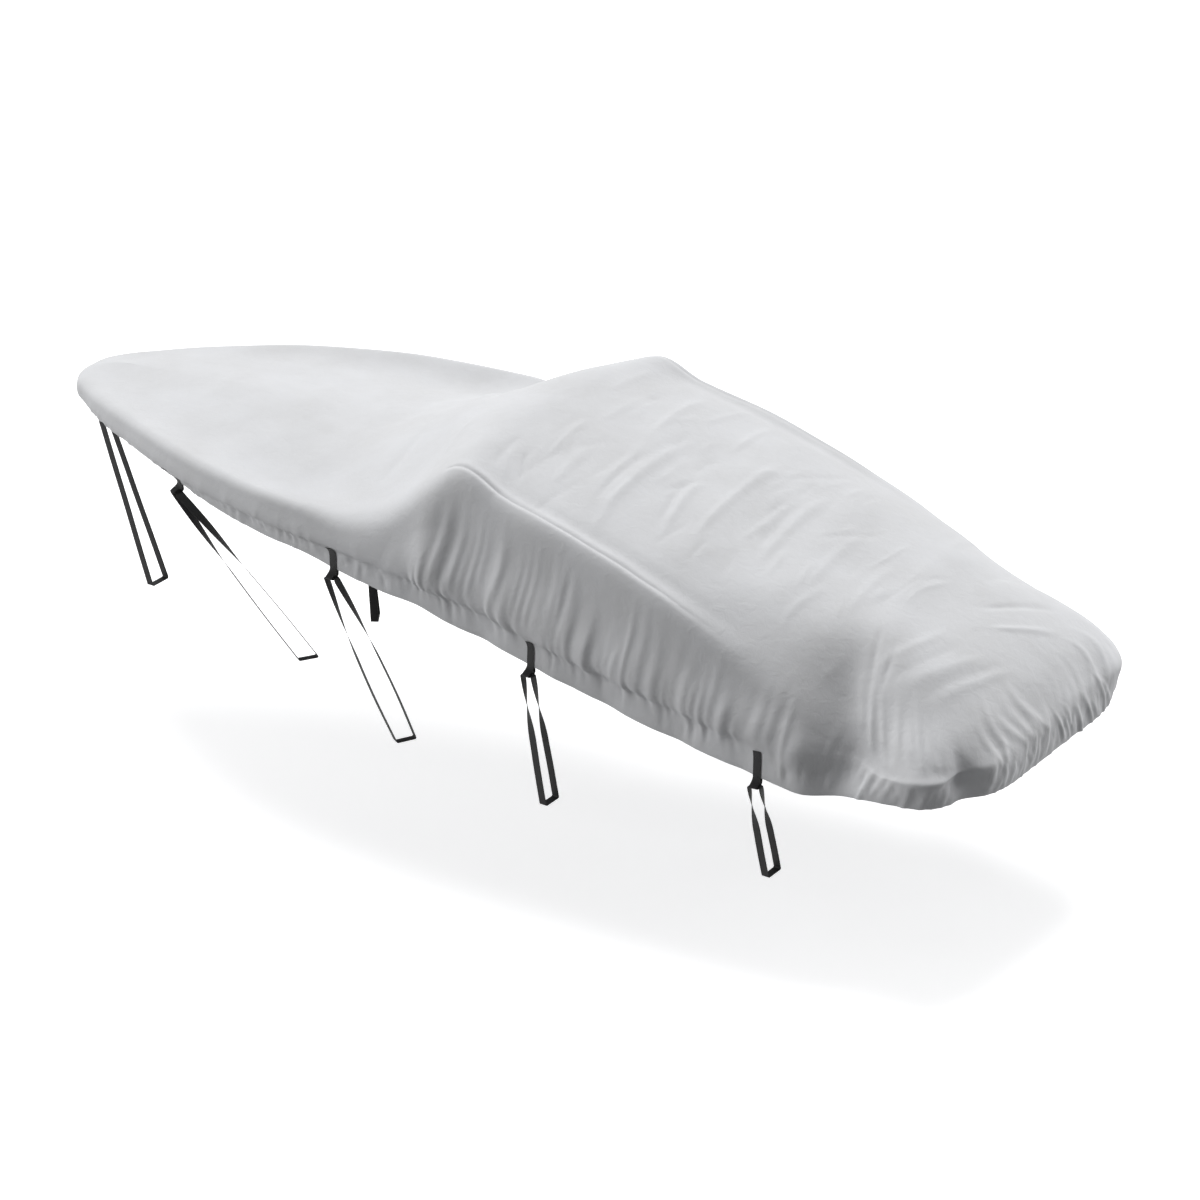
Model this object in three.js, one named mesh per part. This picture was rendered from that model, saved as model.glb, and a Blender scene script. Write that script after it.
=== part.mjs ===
// Trailering cover for an open powered runabout, as it lies on the boat.
// The boat, its trailer and its engine leg are left out: the cover is a hollow cloth shell,
// with webbing tabs sewn over its hem and a tie-down strap through each tab.
//
// Lengths are in millimetres. The tables are in the boat's own frame: x forward from the stern end
// of the trailer's rails, y to port, z up from the top of the rails. The finished part is moved so
// that its origin is the point under its top where the windscreen carries it.

import * as THREE from 'three';

// ---- driving sizes -------------------------------------------------------------------------

const rest = { x: 2930, y: 0, z: 1862 }; // where the windscreen carries the cloth
const cloth = { thick: 2.5 };
const grid = { perRow: 2, side: 10, top: 13, topCrowding: 1.25 };
const webbing = { wide: 48, thick: 2.2 };
const tabSize = { onCloth: 165, belowHem: 12, out: 57, drop: 42, inside: 30 };
const strapSize = { bend: 9, lift: 0.6, middle: 25, overhang: 3.5, legSteps: 9, turnedBy: 0.5 };

// The edge where the top turns down to the side, from the bow round the port side to the stern.
// out* and z* give the rubbing rail, the tuck under it and the hem, measured out from the edge.
// foot is the x of the point on the centre line that this line of the top runs to; dip and dipIn
// are the depth of the sag behind the edge and how far inboard it lies; crown is how soon the top
// flattens; belly is how far the side stands proud between the rail and the edge.
const outlineNames = ['x', 'y', 'z', 'outRail', 'zRail', 'outTuck', 'zTuck', 'outHem', 'zHem',
  'foot', 'dip', 'dipIn', 'crown', 'belly'];
const outline = [
  [6350, 0, 1275, 10, 1180, -50, 1095, -120, 975, 6020, 0, 200, 2.0, 10],
  [6330, 110, 1282, 15, 1185, -50, 1102, -118, 980, 5990, 5, 200, 2.0, 10],
  [6255, 220, 1292, 20, 1195, -50, 1116, -117, 992, 5930, 10, 200, 2.0, 10],
  [6090, 350, 1312, 25, 1210, -52, 1160, -117, 1044, 5810, 15, 200, 2.0, 10],
  [5860, 500, 1340, 25, 1225, -48, 1175, -108, 1084, 5660, 20, 220, 2.0, 10],
  [5500, 690, 1375, 30, 1240, -44, 1190, -99, 1103, 5400, 30, 250, 2.0, 10],
  [5100, 875, 1398, 30, 1250, -40, 1200, -88, 1123, 5060, 40, 280, 2.0, 10],
  [4640, 1035, 1402, 30, 1250, -36, 1200, -74, 1113, 4640, 60, 300, 2.0, 10],
  [4175, 1130, 1400, 35, 1240, -32, 1190, -60, 1083, 4220, 85, 300, 2.0, 10],
  [3800, 1168, 1400, 35, 1225, -15, 1175, -36, 1078, 3920, 90, 300, 2.0, 10],
  [3500, 1168, 1390, 45, 1205, 5, 1170, -11, 1039, 3700, 45, 300, 2.0, 20],
  [3200, 1105, 1495, 115, 1180, 80, 1145, 66, 996, 3440, 10, 300, 1.8, 45],
  [2960, 1000, 1720, 215, 1145, 175, 1110, 163, 966, 3200, 0, 300, 2.0, 60],
  [2840, 995, 1805, 215, 1125, 175, 1090, 164, 938, 3080, 0, 300, 2.4, 20],
  [2500, 1020, 1718, 180, 1060, 145, 1025, 135, 876, 2620, 12, 100, 2.2, 20],
  [2000, 1040, 1607, 155, 960, 120, 925, 110, 772, 2050, 15, 100, 2.2, 20],
  [1500, 1055, 1458, 130, 865, 95, 827, 87, 663, 1520, 12, 100, 2.7, 30],
  [1000, 1035, 1290, 140, 790, 110, 751, 103, 587, 1060, 5, 120, 3.4, 25],
  [700, 1010, 1180, 152, 755, 137, 714, 131, 549, 800, 0, 120, 4.2, 25],
  [450, 970, 1090, 163, 740, 160, 630, 150, 520, 620, 0, 120, 4.2, 20],
  [200, 935, 1025, 140, 745, 151, 640, 165, 545, 460, 0, 120, 3.8, 15],
  [0, 930, 975, 125, 755, 140, 660, 127, 565, 340, 0, 120, 3.6, 15],
  [-170, 865, 948, 155, 755, 160, 680, 142, 575, 240, 0, 120, 3.2, 5],
  [-300, 735, 925, 150, 760, 145, 680, 120, 580, 160, 0, 120, 3.0, 0],
  [-350, 520, 930, 115, 770, 135, 680, 128, 580, 100, 0, 120, 2.8, 0],
  [-358, 260, 938, 107, 780, 127, 680, 120, 578, 60, 0, 120, 2.8, 0],
  [-360, 0, 942, 105, 780, 125, 680, 118, 578, 50, 0, 120, 2.8, 0],
];

// Height of the cloth along the centre line, from the stern to the bow.
const spineNames = ['x', 'z'];
const spine = [
  [-380, 1015], [-200, 1080], [0, 1150], [500, 1298], [1000, 1435], [1600, 1595], [2200, 1735],
  [2700, 1842], [2930, 1878], [3080, 1850], [3250, 1775], [3500, 1665], [3750, 1560],
  [3950, 1490], [4200, 1462], [4500, 1452], [5000, 1435], [5500, 1405], [6000, 1355],
  [6350, 1315],
];

// Main folds of the side cloth, each running up from the hem. row is the place along the outline
// table, depth is outward where positive, half is half the width along the hem, atHem is the share
// of the depth left at the hem, low and high are where it is deepest and where it has gone, as
// shares of the height from the hem to the edge.
const foldNames = ['row', 'depth', 'half', 'atHem', 'low', 'high', 'sides'];
const folds = [
  [19.8, -105, 150, 0.5, 0.45, 1.4, 'port'], // hollow between the hull's end and the platform
  [20.0, -95, 140, 0.5, 0.35, 0.90, 'starboard'],
  [22.95, -75, 85, 0.5, 0.45, 1.00, 'port'], // hollow where the platform's corner meets the stern
  [18.9, 14, 90, 1, 0.45, 1.05, 'both'],
  [17.6, -12, 80, 1, 0.30, 0.80, 'port'],
  [16.5, -14, 90, 1, 0.25, 0.75, 'port'],
  [15.6, -12, 90, 1, 0.30, 0.80, 'port'],
  [14.9, 12, 90, 1, 0.40, 0.85, 'port'],
  [13.9, -14, 80, 1, 0.35, 0.90, 'port'],
  [12.4, -12, 80, 1, 0.30, 0.70, 'port'],
  [10.6, -10, 80, 1, 0.30, 0.70, 'port'],
  [17.3, -13, 90, 1, 0.30, 0.75, 'starboard'],
  [16.2, 12, 90, 1, 0.35, 0.80, 'starboard'],
  [15.3, -14, 90, 1, 0.30, 0.80, 'starboard'],
  [14.2, -12, 90, 1, 0.40, 0.85, 'starboard'],
  [12.8, -13, 80, 1, 0.30, 0.75, 'starboard'],
  [10.9, -10, 80, 1, 0.30, 0.70, 'starboard'],
];
const platform = { row: 22.0, half: 200, proud: 40, height: 830, tall: 110 };

// Where the edge lies lower than the outline table gives it: drop is how much, half is half the
// length along the edge, inboard is where the drop is deepest and wide how far it reaches each way.
const shoulderNames = ['row', 'drop', 'half', 'inboard', 'wide', 'sides'];
const shoulders = [
  [20.9, 105, 500, 0, 320, 'port'],
  [17.7, 60, 480, 0, 250, 'port'],
  [19.5, 75, 150, 90, 260, 'port'],
];
// How far to each side of the edge the cloth is rounded, at places on the outline table.
const roundNames = ['row', 'reach'];
const rounds = [[0, 45], [9, 55], [11.5, 130], [12.6, 30], [16.2, 30], [17.5, 110], [26, 110]];

// Long soft ridges across the top, aft of the windscreen: each runs from one point to the other.
const ridgeNames = ['x1', 'y1', 'x2', 'y2', 'height', 'half'];
const ridges = [
  [2050, 620, 2300, -520, 12, 110],
  [1450, 760, 1750, -700, 13, 130],
  [900, 700, 1150, -760, 12, 120],
  [330, 620, 520, -640, 12, 110],
  [4500, -300, 4150, 620, -8, 160],
];

// Tabs and straps, four of each a side. row is the place on the outline table. A strap's legs pass
// outboard and inboard of a rail and join under it: x, y and zLow are the rail's underside there,
// half is from its middle to a leg, turn is the rail's angle in degrees, slack is a leg's bow, and
// port and starboard are how far the flats of the two tabs stand off the cloth's fullest line there.
const tieNames = ['name', 'row', 'x', 'y', 'zLow', 'half', 'turn', 'slack', 'port', 'starboard'];
const ties = [
  ['1', 6.25, 4440, 340, -85, 62, 32, 14, 0.85, 0.95],
  ['2', 9.75, 3310, 868, -88, 62, 28, 22, 0.9, 0.65],
  ['3', 14.6, 2190, 1002, -98, 62, 0, 4, 0.85, 0.45],
  ['4', 17.9, 700, 1002, -95, 62, 0, 4, 0.65, 0.3],
];
const bowTie = { x: 5890, half: 74, zLow: -90, gap: 0.4 };

// ---- small helpers -------------------------------------------------------------------------

const named = (names, rows) => rows.map((row) => Object.fromEntries(names.map((n, i) => [n, row[i]])));
const mix = (a, b, t) => a + (b - a) * t;
const clamp = (t) => Math.min(1, Math.max(0, t));
const ease = (t) => clamp(t) ** 2 * (3 - 2 * clamp(t));
const hump = (t) => Math.exp(-t * t);
const vec = (x, y, z) => new THREE.Vector3(x, y, z);

// Smooth curve through rows of numbers at the given knots, read at one place.
function through(knots, rows, at) {
  const last = knots.length - 1;
  let i = 0;
  while (i < last - 1 && at > knots[i + 1]) i += 1;
  const span = knots[i + 1] - knots[i];
  const t = (at - knots[i]) / span;
  const slope = (k, c) => {
    if (k === 0) return (rows[1][c] - rows[0][c]) / (knots[1] - knots[0]);
    if (k === last) return (rows[last][c] - rows[last - 1][c]) / (knots[last] - knots[last - 1]);
    const a = knots[k] - knots[k - 1];
    const b = knots[k + 1] - knots[k];
    const left = (rows[k][c] - rows[k - 1][c]) / a;
    const right = (rows[k + 1][c] - rows[k][c]) / b;
    return (left * b + right * a) / (a + b);
  };
  const h00 = 2 * t ** 3 - 3 * t ** 2 + 1;
  const h10 = t ** 3 - 2 * t ** 2 + t;
  const h01 = 3 * t ** 2 - 2 * t ** 3;
  const h11 = t ** 3 - t ** 2;
  return rows[i].map((_, c) => h00 * rows[i][c] + h10 * span * slope(i, c)
    + h01 * rows[i + 1][c] + h11 * span * slope(i + 1, c));
}

// ---- the cover's shape ---------------------------------------------------------------------

const edge = named(outlineNames, outline);
const lastRow = outline.length - 1;
const reach = outline.map(() => 0);
for (let k = 1; k <= lastRow; k += 1) {
  reach[k] = reach[k - 1] + Math.hypot(edge[k].x - edge[k - 1].x, edge[k].y - edge[k - 1].y);
}

// The outline continued past both ends of the half, mirrored, so that it is smooth there.
const mirrored = (row) => row.map((value, c) => (c === 1 ? -value : value));
const wholeKnots = [3, 2, 1].map((k) => -reach[k])
  .concat(reach, [1, 2, 3].map((k) => 2 * reach[lastRow] - reach[lastRow - k]));
const wholeRows = [3, 2, 1].map((k) => mirrored(outline[k]))
  .concat(outline, [1, 2, 3].map((k) => mirrored(outline[lastRow - k])));

const reachAt = (row) => {
  const k = Math.min(lastRow - 1, Math.floor(row));
  return mix(reach[k], reach[k + 1], row - k);
};

function outlineAt(row) {
  const s = reachAt(row);
  const values = through(wholeKnots, wholeRows, s);
  const here = Object.fromEntries(outlineNames.map((n, c) => [n, values[c]]));
  const before = through(wholeKnots, wholeRows, s - 1);
  const after = through(wholeKnots, wholeRows, s + 1);
  const along = Math.hypot(after[0] - before[0], after[1] - before[1]);
  here.s = s;
  here.nx = (after[1] - before[1]) / along;
  here.ny = -(after[0] - before[0]) / along;
  if (row === 0) [here.nx, here.ny] = [1, 0];
  if (row === lastRow) [here.nx, here.ny] = [-1, 0];
  return here;
}

const spineKnots = spine.map((point) => point[0]);
const spineHeights = spine.map((point) => [point[1]]);
const spineZ = (x) => through(spineKnots, spineHeights, x)[0];

// A point of the top on the line from the edge to the centre line; share runs from 0 to 1.
function topPoint(here, share) {
  const x = mix(here.x, here.foot, share);
  const y = mix(here.y, 0, share);
  const drop = (spineZ(here.x) - here.z) * (1 - share) ** here.crown;
  const w = share * Math.hypot(here.foot - here.x, here.y) / here.dipIn;
  return vec(x, y, spineZ(x) - drop - here.dip * (w * Math.exp(1 - w)) ** 2);
}

// The side from hem to edge as key points, outward along the edge's own normal.
function sideKeys(here) {
  const at = (out, z) => [here.x + here.nx * out, here.y + here.ny * out, z];
  const beyond = topPoint(here, 0.12);
  return [
    at(here.outHem, here.zHem),
    at(here.outTuck, here.zTuck),
    at(here.outRail, here.zRail),
    at(0.45 * here.outRail + here.belly, mix(here.zRail, here.z, 0.55)),
    at(0, here.z),
    [beyond.x, beyond.y, beyond.z],
  ];
}

const foldTable = named(foldNames, folds);
const ridgeTable = named(ridgeNames, ridges);
const shoulderTable = named(shoulderNames, shoulders);
const roundTable = named(roundNames, rounds);

function foldOut(here, z, side) {
  const share = (z - here.zHem) / (here.z - here.zHem);
  let out = 0;
  for (const fold of foldTable) {
    if (fold.sides !== 'both' && fold.sides !== side) continue;
    const across = hump((here.s - reachAt(fold.row)) / fold.half);
    const rising = mix(fold.atHem, 1, ease(share / fold.low));
    out += fold.depth * across * rising * (1 - ease((share - fold.low) / (fold.high - fold.low)));
  }
  const shelf = hump((here.s - reachAt(platform.row)) / platform.half);
  return out + platform.proud * shelf * hump((z - platform.height) / platform.tall);
}

function shoulderDown(here, over, side) {
  let down = 0;
  for (const shoulder of shoulderTable) {
    if (shoulder.sides !== 'both' && shoulder.sides !== side) continue;
    const along = hump((here.s - reachAt(shoulder.row)) / shoulder.half);
    down += shoulder.drop * along * hump((over - shoulder.inboard) / shoulder.wide);
  }
  return down;
}

function ridgeUp(x, y) {
  let up = 0;
  for (const ridge of ridgeTable) {
    const dx = ridge.x2 - ridge.x1;
    const dy = ridge.y2 - ridge.y1;
    const length = Math.hypot(dx, dy);
    const along = ((x - ridge.x1) * dx + (y - ridge.y1) * dy) / length ** 2;
    const off = ((x - ridge.x1) * dy - (y - ridge.y1) * dx) / length;
    const ends = ease((along + 0.15) / 0.3) * ease((1.15 - along) / 0.3);
    up += ridge.height * hump(off / ridge.half) * ends;
  }
  return up;
}

// One line of the cover from the hem (first) over the edge to the centre line (last).
function sectionLine(row, side) {
  const here = outlineAt(row);
  const keys = sideKeys(here);
  const knots = [0];
  for (let k = 1; k < keys.length; k += 1) {
    knots.push(knots[k - 1] + Math.hypot(...keys[k].map((v, c) => v - keys[k - 1][c])));
  }
  const line = [];
  const over = []; // inboard of the edge where positive
  for (let j = 0; j <= grid.side; j += 1) {
    line.push(vec(...through(knots, keys, knots[4] * (j / grid.side))));
    over.push(knots[4] * (j / grid.side - 1));
  }
  for (let j = 1; j <= grid.top; j += 1) {
    const share = (j / grid.top) ** grid.topCrowding;
    line.push(topPoint(here, share));
    over.push(share * Math.hypot(here.foot - here.x, here.y));
  }
  const flip = side === 'port' ? 1 : -1;
  line.forEach((p, j) => {
    const out = j <= grid.side + 3 ? foldOut(here, p.z, side) : 0;
    p.z -= shoulderDown(here, over[j], side) * ease((p.z - 640) / 200);
    p.x += here.nx * out;
    p.y += here.ny * out;
    p.y *= flip;
    if (j > grid.side) p.z += ridgeUp(p.x, p.y);
  });
  return roundedEdge(line, row);
}

// The edge between the top and the side as a round instead of a corner.
function roundedEdge(line, row) {
  let k = 0;
  while (k < roundTable.length - 2 && row > roundTable[k + 1].row) k += 1;
  const [from, to] = [roundTable[k], roundTable[k + 1]];
  const far = mix(from.reach, to.reach, (row - from.row) / (to.row - from.row));
  const run = [0];
  for (let j = 1; j < line.length; j += 1) run.push(run[j - 1] + line[j].distanceTo(line[j - 1]));
  const at = (over) => {
    let j = 0;
    while (j < line.length - 2 && over + run[grid.side] > run[j + 1]) j += 1;
    return line[j].clone().lerp(line[j + 1], (over + run[grid.side] - run[j]) / (run[j + 1] - run[j]));
  };
  const [start, stop] = [at(-far), at(far)];
  const leave = at(8 - far).sub(at(-far - 8)).multiplyScalar(far / 8);
  const arrive = at(far + 8).sub(at(far - 8)).multiplyScalar(far / 8);
  return line.map((p, j) => {
    const t = (run[j] - run[grid.side] + far) / (2 * far);
    if (t <= 0 || t >= 1) return p;
    return vec(0, 0, 0).addScaledVector(start, 2 * t ** 3 - 3 * t ** 2 + 1)
      .addScaledVector(leave, t ** 3 - 2 * t ** 2 + t)
      .addScaledVector(stop, 3 * t ** 2 - 2 * t ** 3)
      .addScaledVector(arrive, t ** 3 - t ** 2);
  });
}

const columns = lastRow * grid.perRow;
const lines = { port: [], starboard: [] };
for (let i = 0; i <= columns; i += 1) {
  lines.port.push(sectionLine(i / grid.perRow, 'port'));
  lines.starboard.push(sectionLine(i / grid.perRow, 'starboard'));
}

// ---- solids --------------------------------------------------------------------------------

function solid(name, points, faces, material) {
  const positions = new Float32Array(points.flatMap((p) => [p.x - rest.x, p.y - rest.y, p.z - rest.z]));
  let volume = 0;
  for (const [a, b, c] of faces) {
    volume += points[a].dot(vec(0, 0, 0).crossVectors(points[b], points[c])) / 6;
  }
  const index = volume > 0 ? faces.flat() : faces.flatMap(([a, b, c]) => [a, c, b]);
  const geometry = new THREE.BufferGeometry();
  geometry.setAttribute('position', new THREE.BufferAttribute(positions, 3));
  geometry.setIndex(index);
  geometry.computeVertexNormals();
  const mesh = new THREE.Mesh(geometry, material);
  mesh.name = name;
  return mesh;
}

const clothMaterial = new THREE.MeshStandardMaterial({ color: 0xc9cacd, roughness: 0.85, metalness: 0 });
const webbingMaterial = new THREE.MeshStandardMaterial({ color: 0x1c1c1e, roughness: 0.8, metalness: 0 });

// The whole shell: both halves share the points on the centre line.
function coverSolid() {
  const points = [];
  const faces = [];
  const high = grid.side + grid.top;
  const ids = { port: [], starboard: [] };
  for (let i = 0; i <= columns; i += 1) {
    ids.port.push(lines.port[i].map((p) => points.push(p.clone()) - 1));
  }
  for (let i = 0; i <= columns; i += 1) {
    ids.starboard.push(lines.starboard[i].map((p, j) => (
      i === 0 || i === columns || j === high ? ids.port[i][j] : points.push(p.clone()) - 1)));
  }
  for (const side of ['port', 'starboard']) {
    const id = ids[side];
    for (let i = 0; i < columns; i += 1) {
      for (let j = 0; j < high; j += 1) {
        const quad = [id[i][j], id[i + 1][j], id[i + 1][j + 1], id[i][j + 1]];
        if (side === 'port') quad.reverse();
        faces.push([quad[0], quad[1], quad[2]], [quad[0], quad[2], quad[3]]);
      }
    }
  }
  const outerCount = points.length;
  const normals = points.map(() => vec(0, 0, 0));
  for (const [a, b, c] of faces) {
    const n = points[b].clone().sub(points[a]).cross(points[c].clone().sub(points[a]));
    [a, b, c].forEach((k) => normals[k].add(n));
  }
  const facing = normals[ids.port[Math.floor(columns / 2)][high]].z > 0 ? 1 : -1;
  for (let k = 0; k < outerCount; k += 1) {
    points.push(points[k].clone().addScaledVector(normals[k].normalize(), -facing * cloth.thick));
  }
  const outerFaces = faces.slice();
  outerFaces.forEach(([a, b, c]) => faces.push([a + outerCount, c + outerCount, b + outerCount]));
  for (const side of ['port', 'starboard']) {
    for (let i = 0; i < columns; i += 1) {
      const a = ids[side][i][0];
      const b = ids[side][i + 1][0];
      const rim = [a, b, b + outerCount, a + outerCount];
      if (side === 'starboard') rim.reverse();
      faces.push([rim[0], rim[1], rim[2]], [rim[0], rim[2], rim[3]]);
    }
  }
  return solid('cover', points, faces, clothMaterial);
}

// A band of webbing through a list of frames: middle point, across (unit) and face (unit).
function bandSolid(name, frames, closed) {
  const points = [];
  const faces = [];
  for (const { at, across, face } of frames) {
    for (const [w, t] of [[-0.5, -0.5], [0.5, -0.5], [0.5, 0.5], [-0.5, 0.5]]) {
      points.push(at.clone().addScaledVector(across, w * webbing.wide)
        .addScaledVector(face, t * webbing.thick));
    }
  }
  const count = frames.length;
  for (let k = 0; k < (closed ? count : count - 1); k += 1) {
    const a = 4 * k;
    const b = 4 * ((k + 1) % count);
    for (let c = 0; c < 4; c += 1) {
      const d = (c + 1) % 4;
      // Both wide faces are split the same way, so that a turned band keeps its thickness.
      if (c === 2) faces.push([a + c, a + d, b + c], [a + d, b + d, b + c]);
      else faces.push([a + c, a + d, b + d], [a + c, b + d, b + c]);
    }
  }
  if (!closed) {
    const e = 4 * (count - 1);
    faces.push([0, 2, 1], [0, 3, 2], [e, e + 1, e + 2], [e, e + 2, e + 3]);
  }
  return solid(name, points, faces, webbingMaterial);
}

// The cloth between two neighbouring lines, read on the solid's own faces.
function clothAt(row, level, side) {
  const column = Math.min(columns - 1, Math.floor(row * grid.perRow));
  const from = reachAt(column / grid.perRow);
  const share = (reachAt(row) - from) / (reachAt((column + 1) / grid.perRow) - from);
  const j = Math.min(grid.side - 1, Math.floor(level));
  const on = (line) => line[j].clone().lerp(line[j + 1], level - j);
  return on(lines[side][column]).lerp(on(lines[side][column + 1]), share);
}

// Where a tie is sewn: the point on the hem, the way out from the boat, and the way along the hem.
function seatOf(row, side, gap) {
  const here = outlineAt(row);
  const flip = side === 'port' ? 1 : -1;
  const outward = vec(here.nx, here.ny * flip, 0);
  const along = row === 0 ? vec(0, 1, 0) : vec(outward.y, -outward.x, 0).multiplyScalar(flip);
  return { hem: clothAt(row, 0, side), outward, along, row, side, gap };
}

// The cloth above a seat as [out, up] pairs from the hem, read at three places across the tab:
// pick is Math.max for the proudest of them and Math.min for the one furthest in.
function clothRise(seat, pick) {
  const { row, side, hem, outward } = seat;
  const column = Math.floor(row * grid.perRow);
  const span = lines[side][column][0].distanceTo(lines[side][column + 1][0]);
  const spread = (webbing.wide / 2 + 2) / span / grid.perRow;
  const profile = (d) => Array.from({ length: 4 * grid.side }, (_, k) => {
    const p = clothAt(Math.abs(row + d), k / 4, side).sub(hem);
    return [p.dot(outward), p.z];
  });
  const profiles = [-spread, 0, spread].map(profile);
  const outAt = (line, z) => {
    let k = 0;
    while (k < line.length - 2 && z > line[k + 1][1]) k += 1;
    return mix(line[k][0], line[k + 1][0], (z - line[k][1]) / (line[k + 1][1] - line[k][1]));
  };
  const rise = [];
  let length = 0;
  for (let k = 0; length < tabSize.onCloth; k += 1) {
    const z = profiles[1][k][1];
    rise.push([pick(...profiles.map((line) => outAt(line, z))), z]);
    if (k > 0) length += Math.hypot(rise[k][0] - rise[k - 1][0], rise[k][1] - rise[k - 1][1]);
  }
  return rise;
}

// A line of [out, up] pairs moved square to itself.
const shifted = (line, far) => line.map(([n, z], k) => {
  const a = line[Math.max(0, k - 1)];
  const b = line[Math.min(line.length - 1, k + 1)];
  const run = Math.hypot(b[0] - a[0], b[1] - a[1]);
  return [n + far * (b[1] - a[1]) / run, z - far * (b[0] - a[0]) / run];
});

// A tab: down the outside of the cloth, out and back in a loop below the hem, and up inside it.
function tabSolid(name, seat) {
  const s = tabSize;
  const clear = seat.gap + webbing.thick / 2;
  const outside = shifted(clothRise(seat, Math.max), clear);
  const inside = shifted(clothRise(seat, Math.min), -(cloth.thick + clear));
  const tucked = inside.filter((p) => Math.hypot(p[0] - inside[0][0], p[1] - inside[0][1]) < s.inside);
  const [n0, z0] = outside[0];
  const path = outside.slice().reverse().concat([
    [n0 + 1, z0 - 5],
    [n0 + 6, z0 - s.belowHem],
    [s.out - 4, z0 - s.drop + 1],
    [s.out, z0 - s.drop - 2.5],
    [s.out - 3, z0 - s.drop - 5.5],
    [-1, z0 - s.drop - 5.5],
    [-7, z0 - s.drop - 1],
    [inside[0][0] - 3, z0 - s.belowHem],
    [inside[0][0], inside[0][1] - 4],
  ], tucked);
  const frames = path.map(([n, z], k) => {
    const a = path[Math.max(0, k - 1)];
    const b = path[Math.min(path.length - 1, k + 1)];
    return {
      at: seat.hem.clone().addScaledVector(seat.outward, n).add(vec(0, 0, z)),
      across: seat.along.clone(),
      face: seat.outward.clone().multiplyScalar(a[1] - b[1]).add(vec(0, 0, b[0] - a[0])).normalize(),
    };
  });
  return bandSolid(name, frames, false);
}

// A strap: one closed band, flat through the tab's loop, its legs led down and under a rail.
// low gives the strap's two feet, the way out at them, its slack and where its turn is done.
function strapSolid(name, seat, low) {
  const s = strapSize;
  const z0 = shifted(clothRise(seat, Math.max), seat.gap + webbing.thick / 2)[0][1];
  const up = vec(0, 0, 1);
  const middle = seat.hem.clone().addScaledVector(seat.outward, s.middle)
    .add(vec(0, 0, z0 - tabSize.drop - 5.5 + webbing.thick + s.lift));
  const half = webbing.wide / 2 + s.overhang;
  const bend = (way, k) => {
    const a = (Math.PI / 2) * (k / 3);
    const to = seat.along.clone().multiplyScalar(way);
    return {
      at: middle.clone().addScaledVector(to, half + s.bend * Math.sin(a))
        .addScaledVector(up, s.bend * (Math.cos(a) - 1)),
      face: to.multiplyScalar(Math.sin(a)).addScaledVector(up, Math.cos(a)),
    };
  };
  const leg = (way, foot, out) => {
    const top = bend(way, 3);
    const steps = [];
    for (let k = 1; k <= s.legSteps; k += 1) {
      const t = k / s.legSteps;
      const turn = (Math.PI / 2) * ease(t / low.turnedBy);
      steps.push({
        at: top.at.clone().lerp(foot, t).addScaledVector(out, low.slack * Math.sin(Math.PI * t)),
        face: top.face.clone().multiplyScalar(Math.cos(turn)).addScaledVector(out, Math.sin(turn)),
      });
    }
    return steps;
  };
  const wrap = (foot, out) => [30, 60, 90].map((angle) => {
    const a = THREE.MathUtils.degToRad(angle);
    return {
      at: foot.clone().addScaledVector(out, s.bend * (Math.cos(a) - 1))
        .addScaledVector(up, -s.bend * Math.sin(a)),
      face: out.clone().multiplyScalar(Math.cos(a)).addScaledVector(up, -Math.sin(a)),
    };
  });
  const back = low.out.clone().negate();
  const path = [{ at: middle, face: up }];
  for (let k = 0; k <= 3; k += 1) path.push(bend(1, k));
  path.push(...leg(1, low.first, low.out), ...wrap(low.first, low.out));
  path.push(...wrap(low.second, back).reverse(), ...leg(-1, low.second, back).reverse());
  for (let k = 3; k >= 0; k -= 1) path.push(bend(-1, k));
  const count = path.length;
  const frames = path.map(({ at, face }, k) => {
    const tangent = path[(k + 1) % count].at.clone().sub(path[(k + count - 1) % count].at).normalize();
    const square = face.clone().addScaledVector(tangent, -face.dot(tangent)).normalize();
    return { at, face: square, across: tangent.clone().cross(square) };
  });
  return bandSolid(name, frames, true);
}

// ---- the part ------------------------------------------------------------------------------

const part = new THREE.Group();
part.name = 'boat_cover';
part.add(coverSolid());
for (const side of ['port', 'starboard']) {
  const flip = side === 'port' ? 1 : -1;
  for (const tie of named(tieNames, ties)) {
    const seat = seatOf(tie.row, side, tie[side]);
    const turn = THREE.MathUtils.degToRad(tie.turn);
    const out = vec(Math.sin(turn), Math.cos(turn) * flip, 0);
    const foot = (far) => vec(tie.x, tie.y * flip, tie.zLow + strapSize.bend).addScaledVector(out, far);
    part.add(tabSolid(`tab_${side}_${tie.name}`, seat));
    part.add(strapSolid(`strap_${side}_${tie.name}`, seat, {
      first: foot(tie.half),
      second: foot(-tie.half),
      out,
      slack: tie.slack,
      turnedBy: strapSize.turnedBy,
    }));
  }
}
const bowSeat = seatOf(0, 'port', bowTie.gap);
part.add(tabSolid('tab_bow', bowSeat));
part.add(strapSolid('strap_bow', bowSeat, {
  first: vec(bowTie.x, bowTie.half, bowTie.zLow + strapSize.bend),
  second: vec(bowTie.x, -bowTie.half, bowTie.zLow + strapSize.bend),
  out: vec(0, 1, 0),
  slack: 0,
  turnedBy: strapSize.turnedBy,
}));

export default part;
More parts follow.
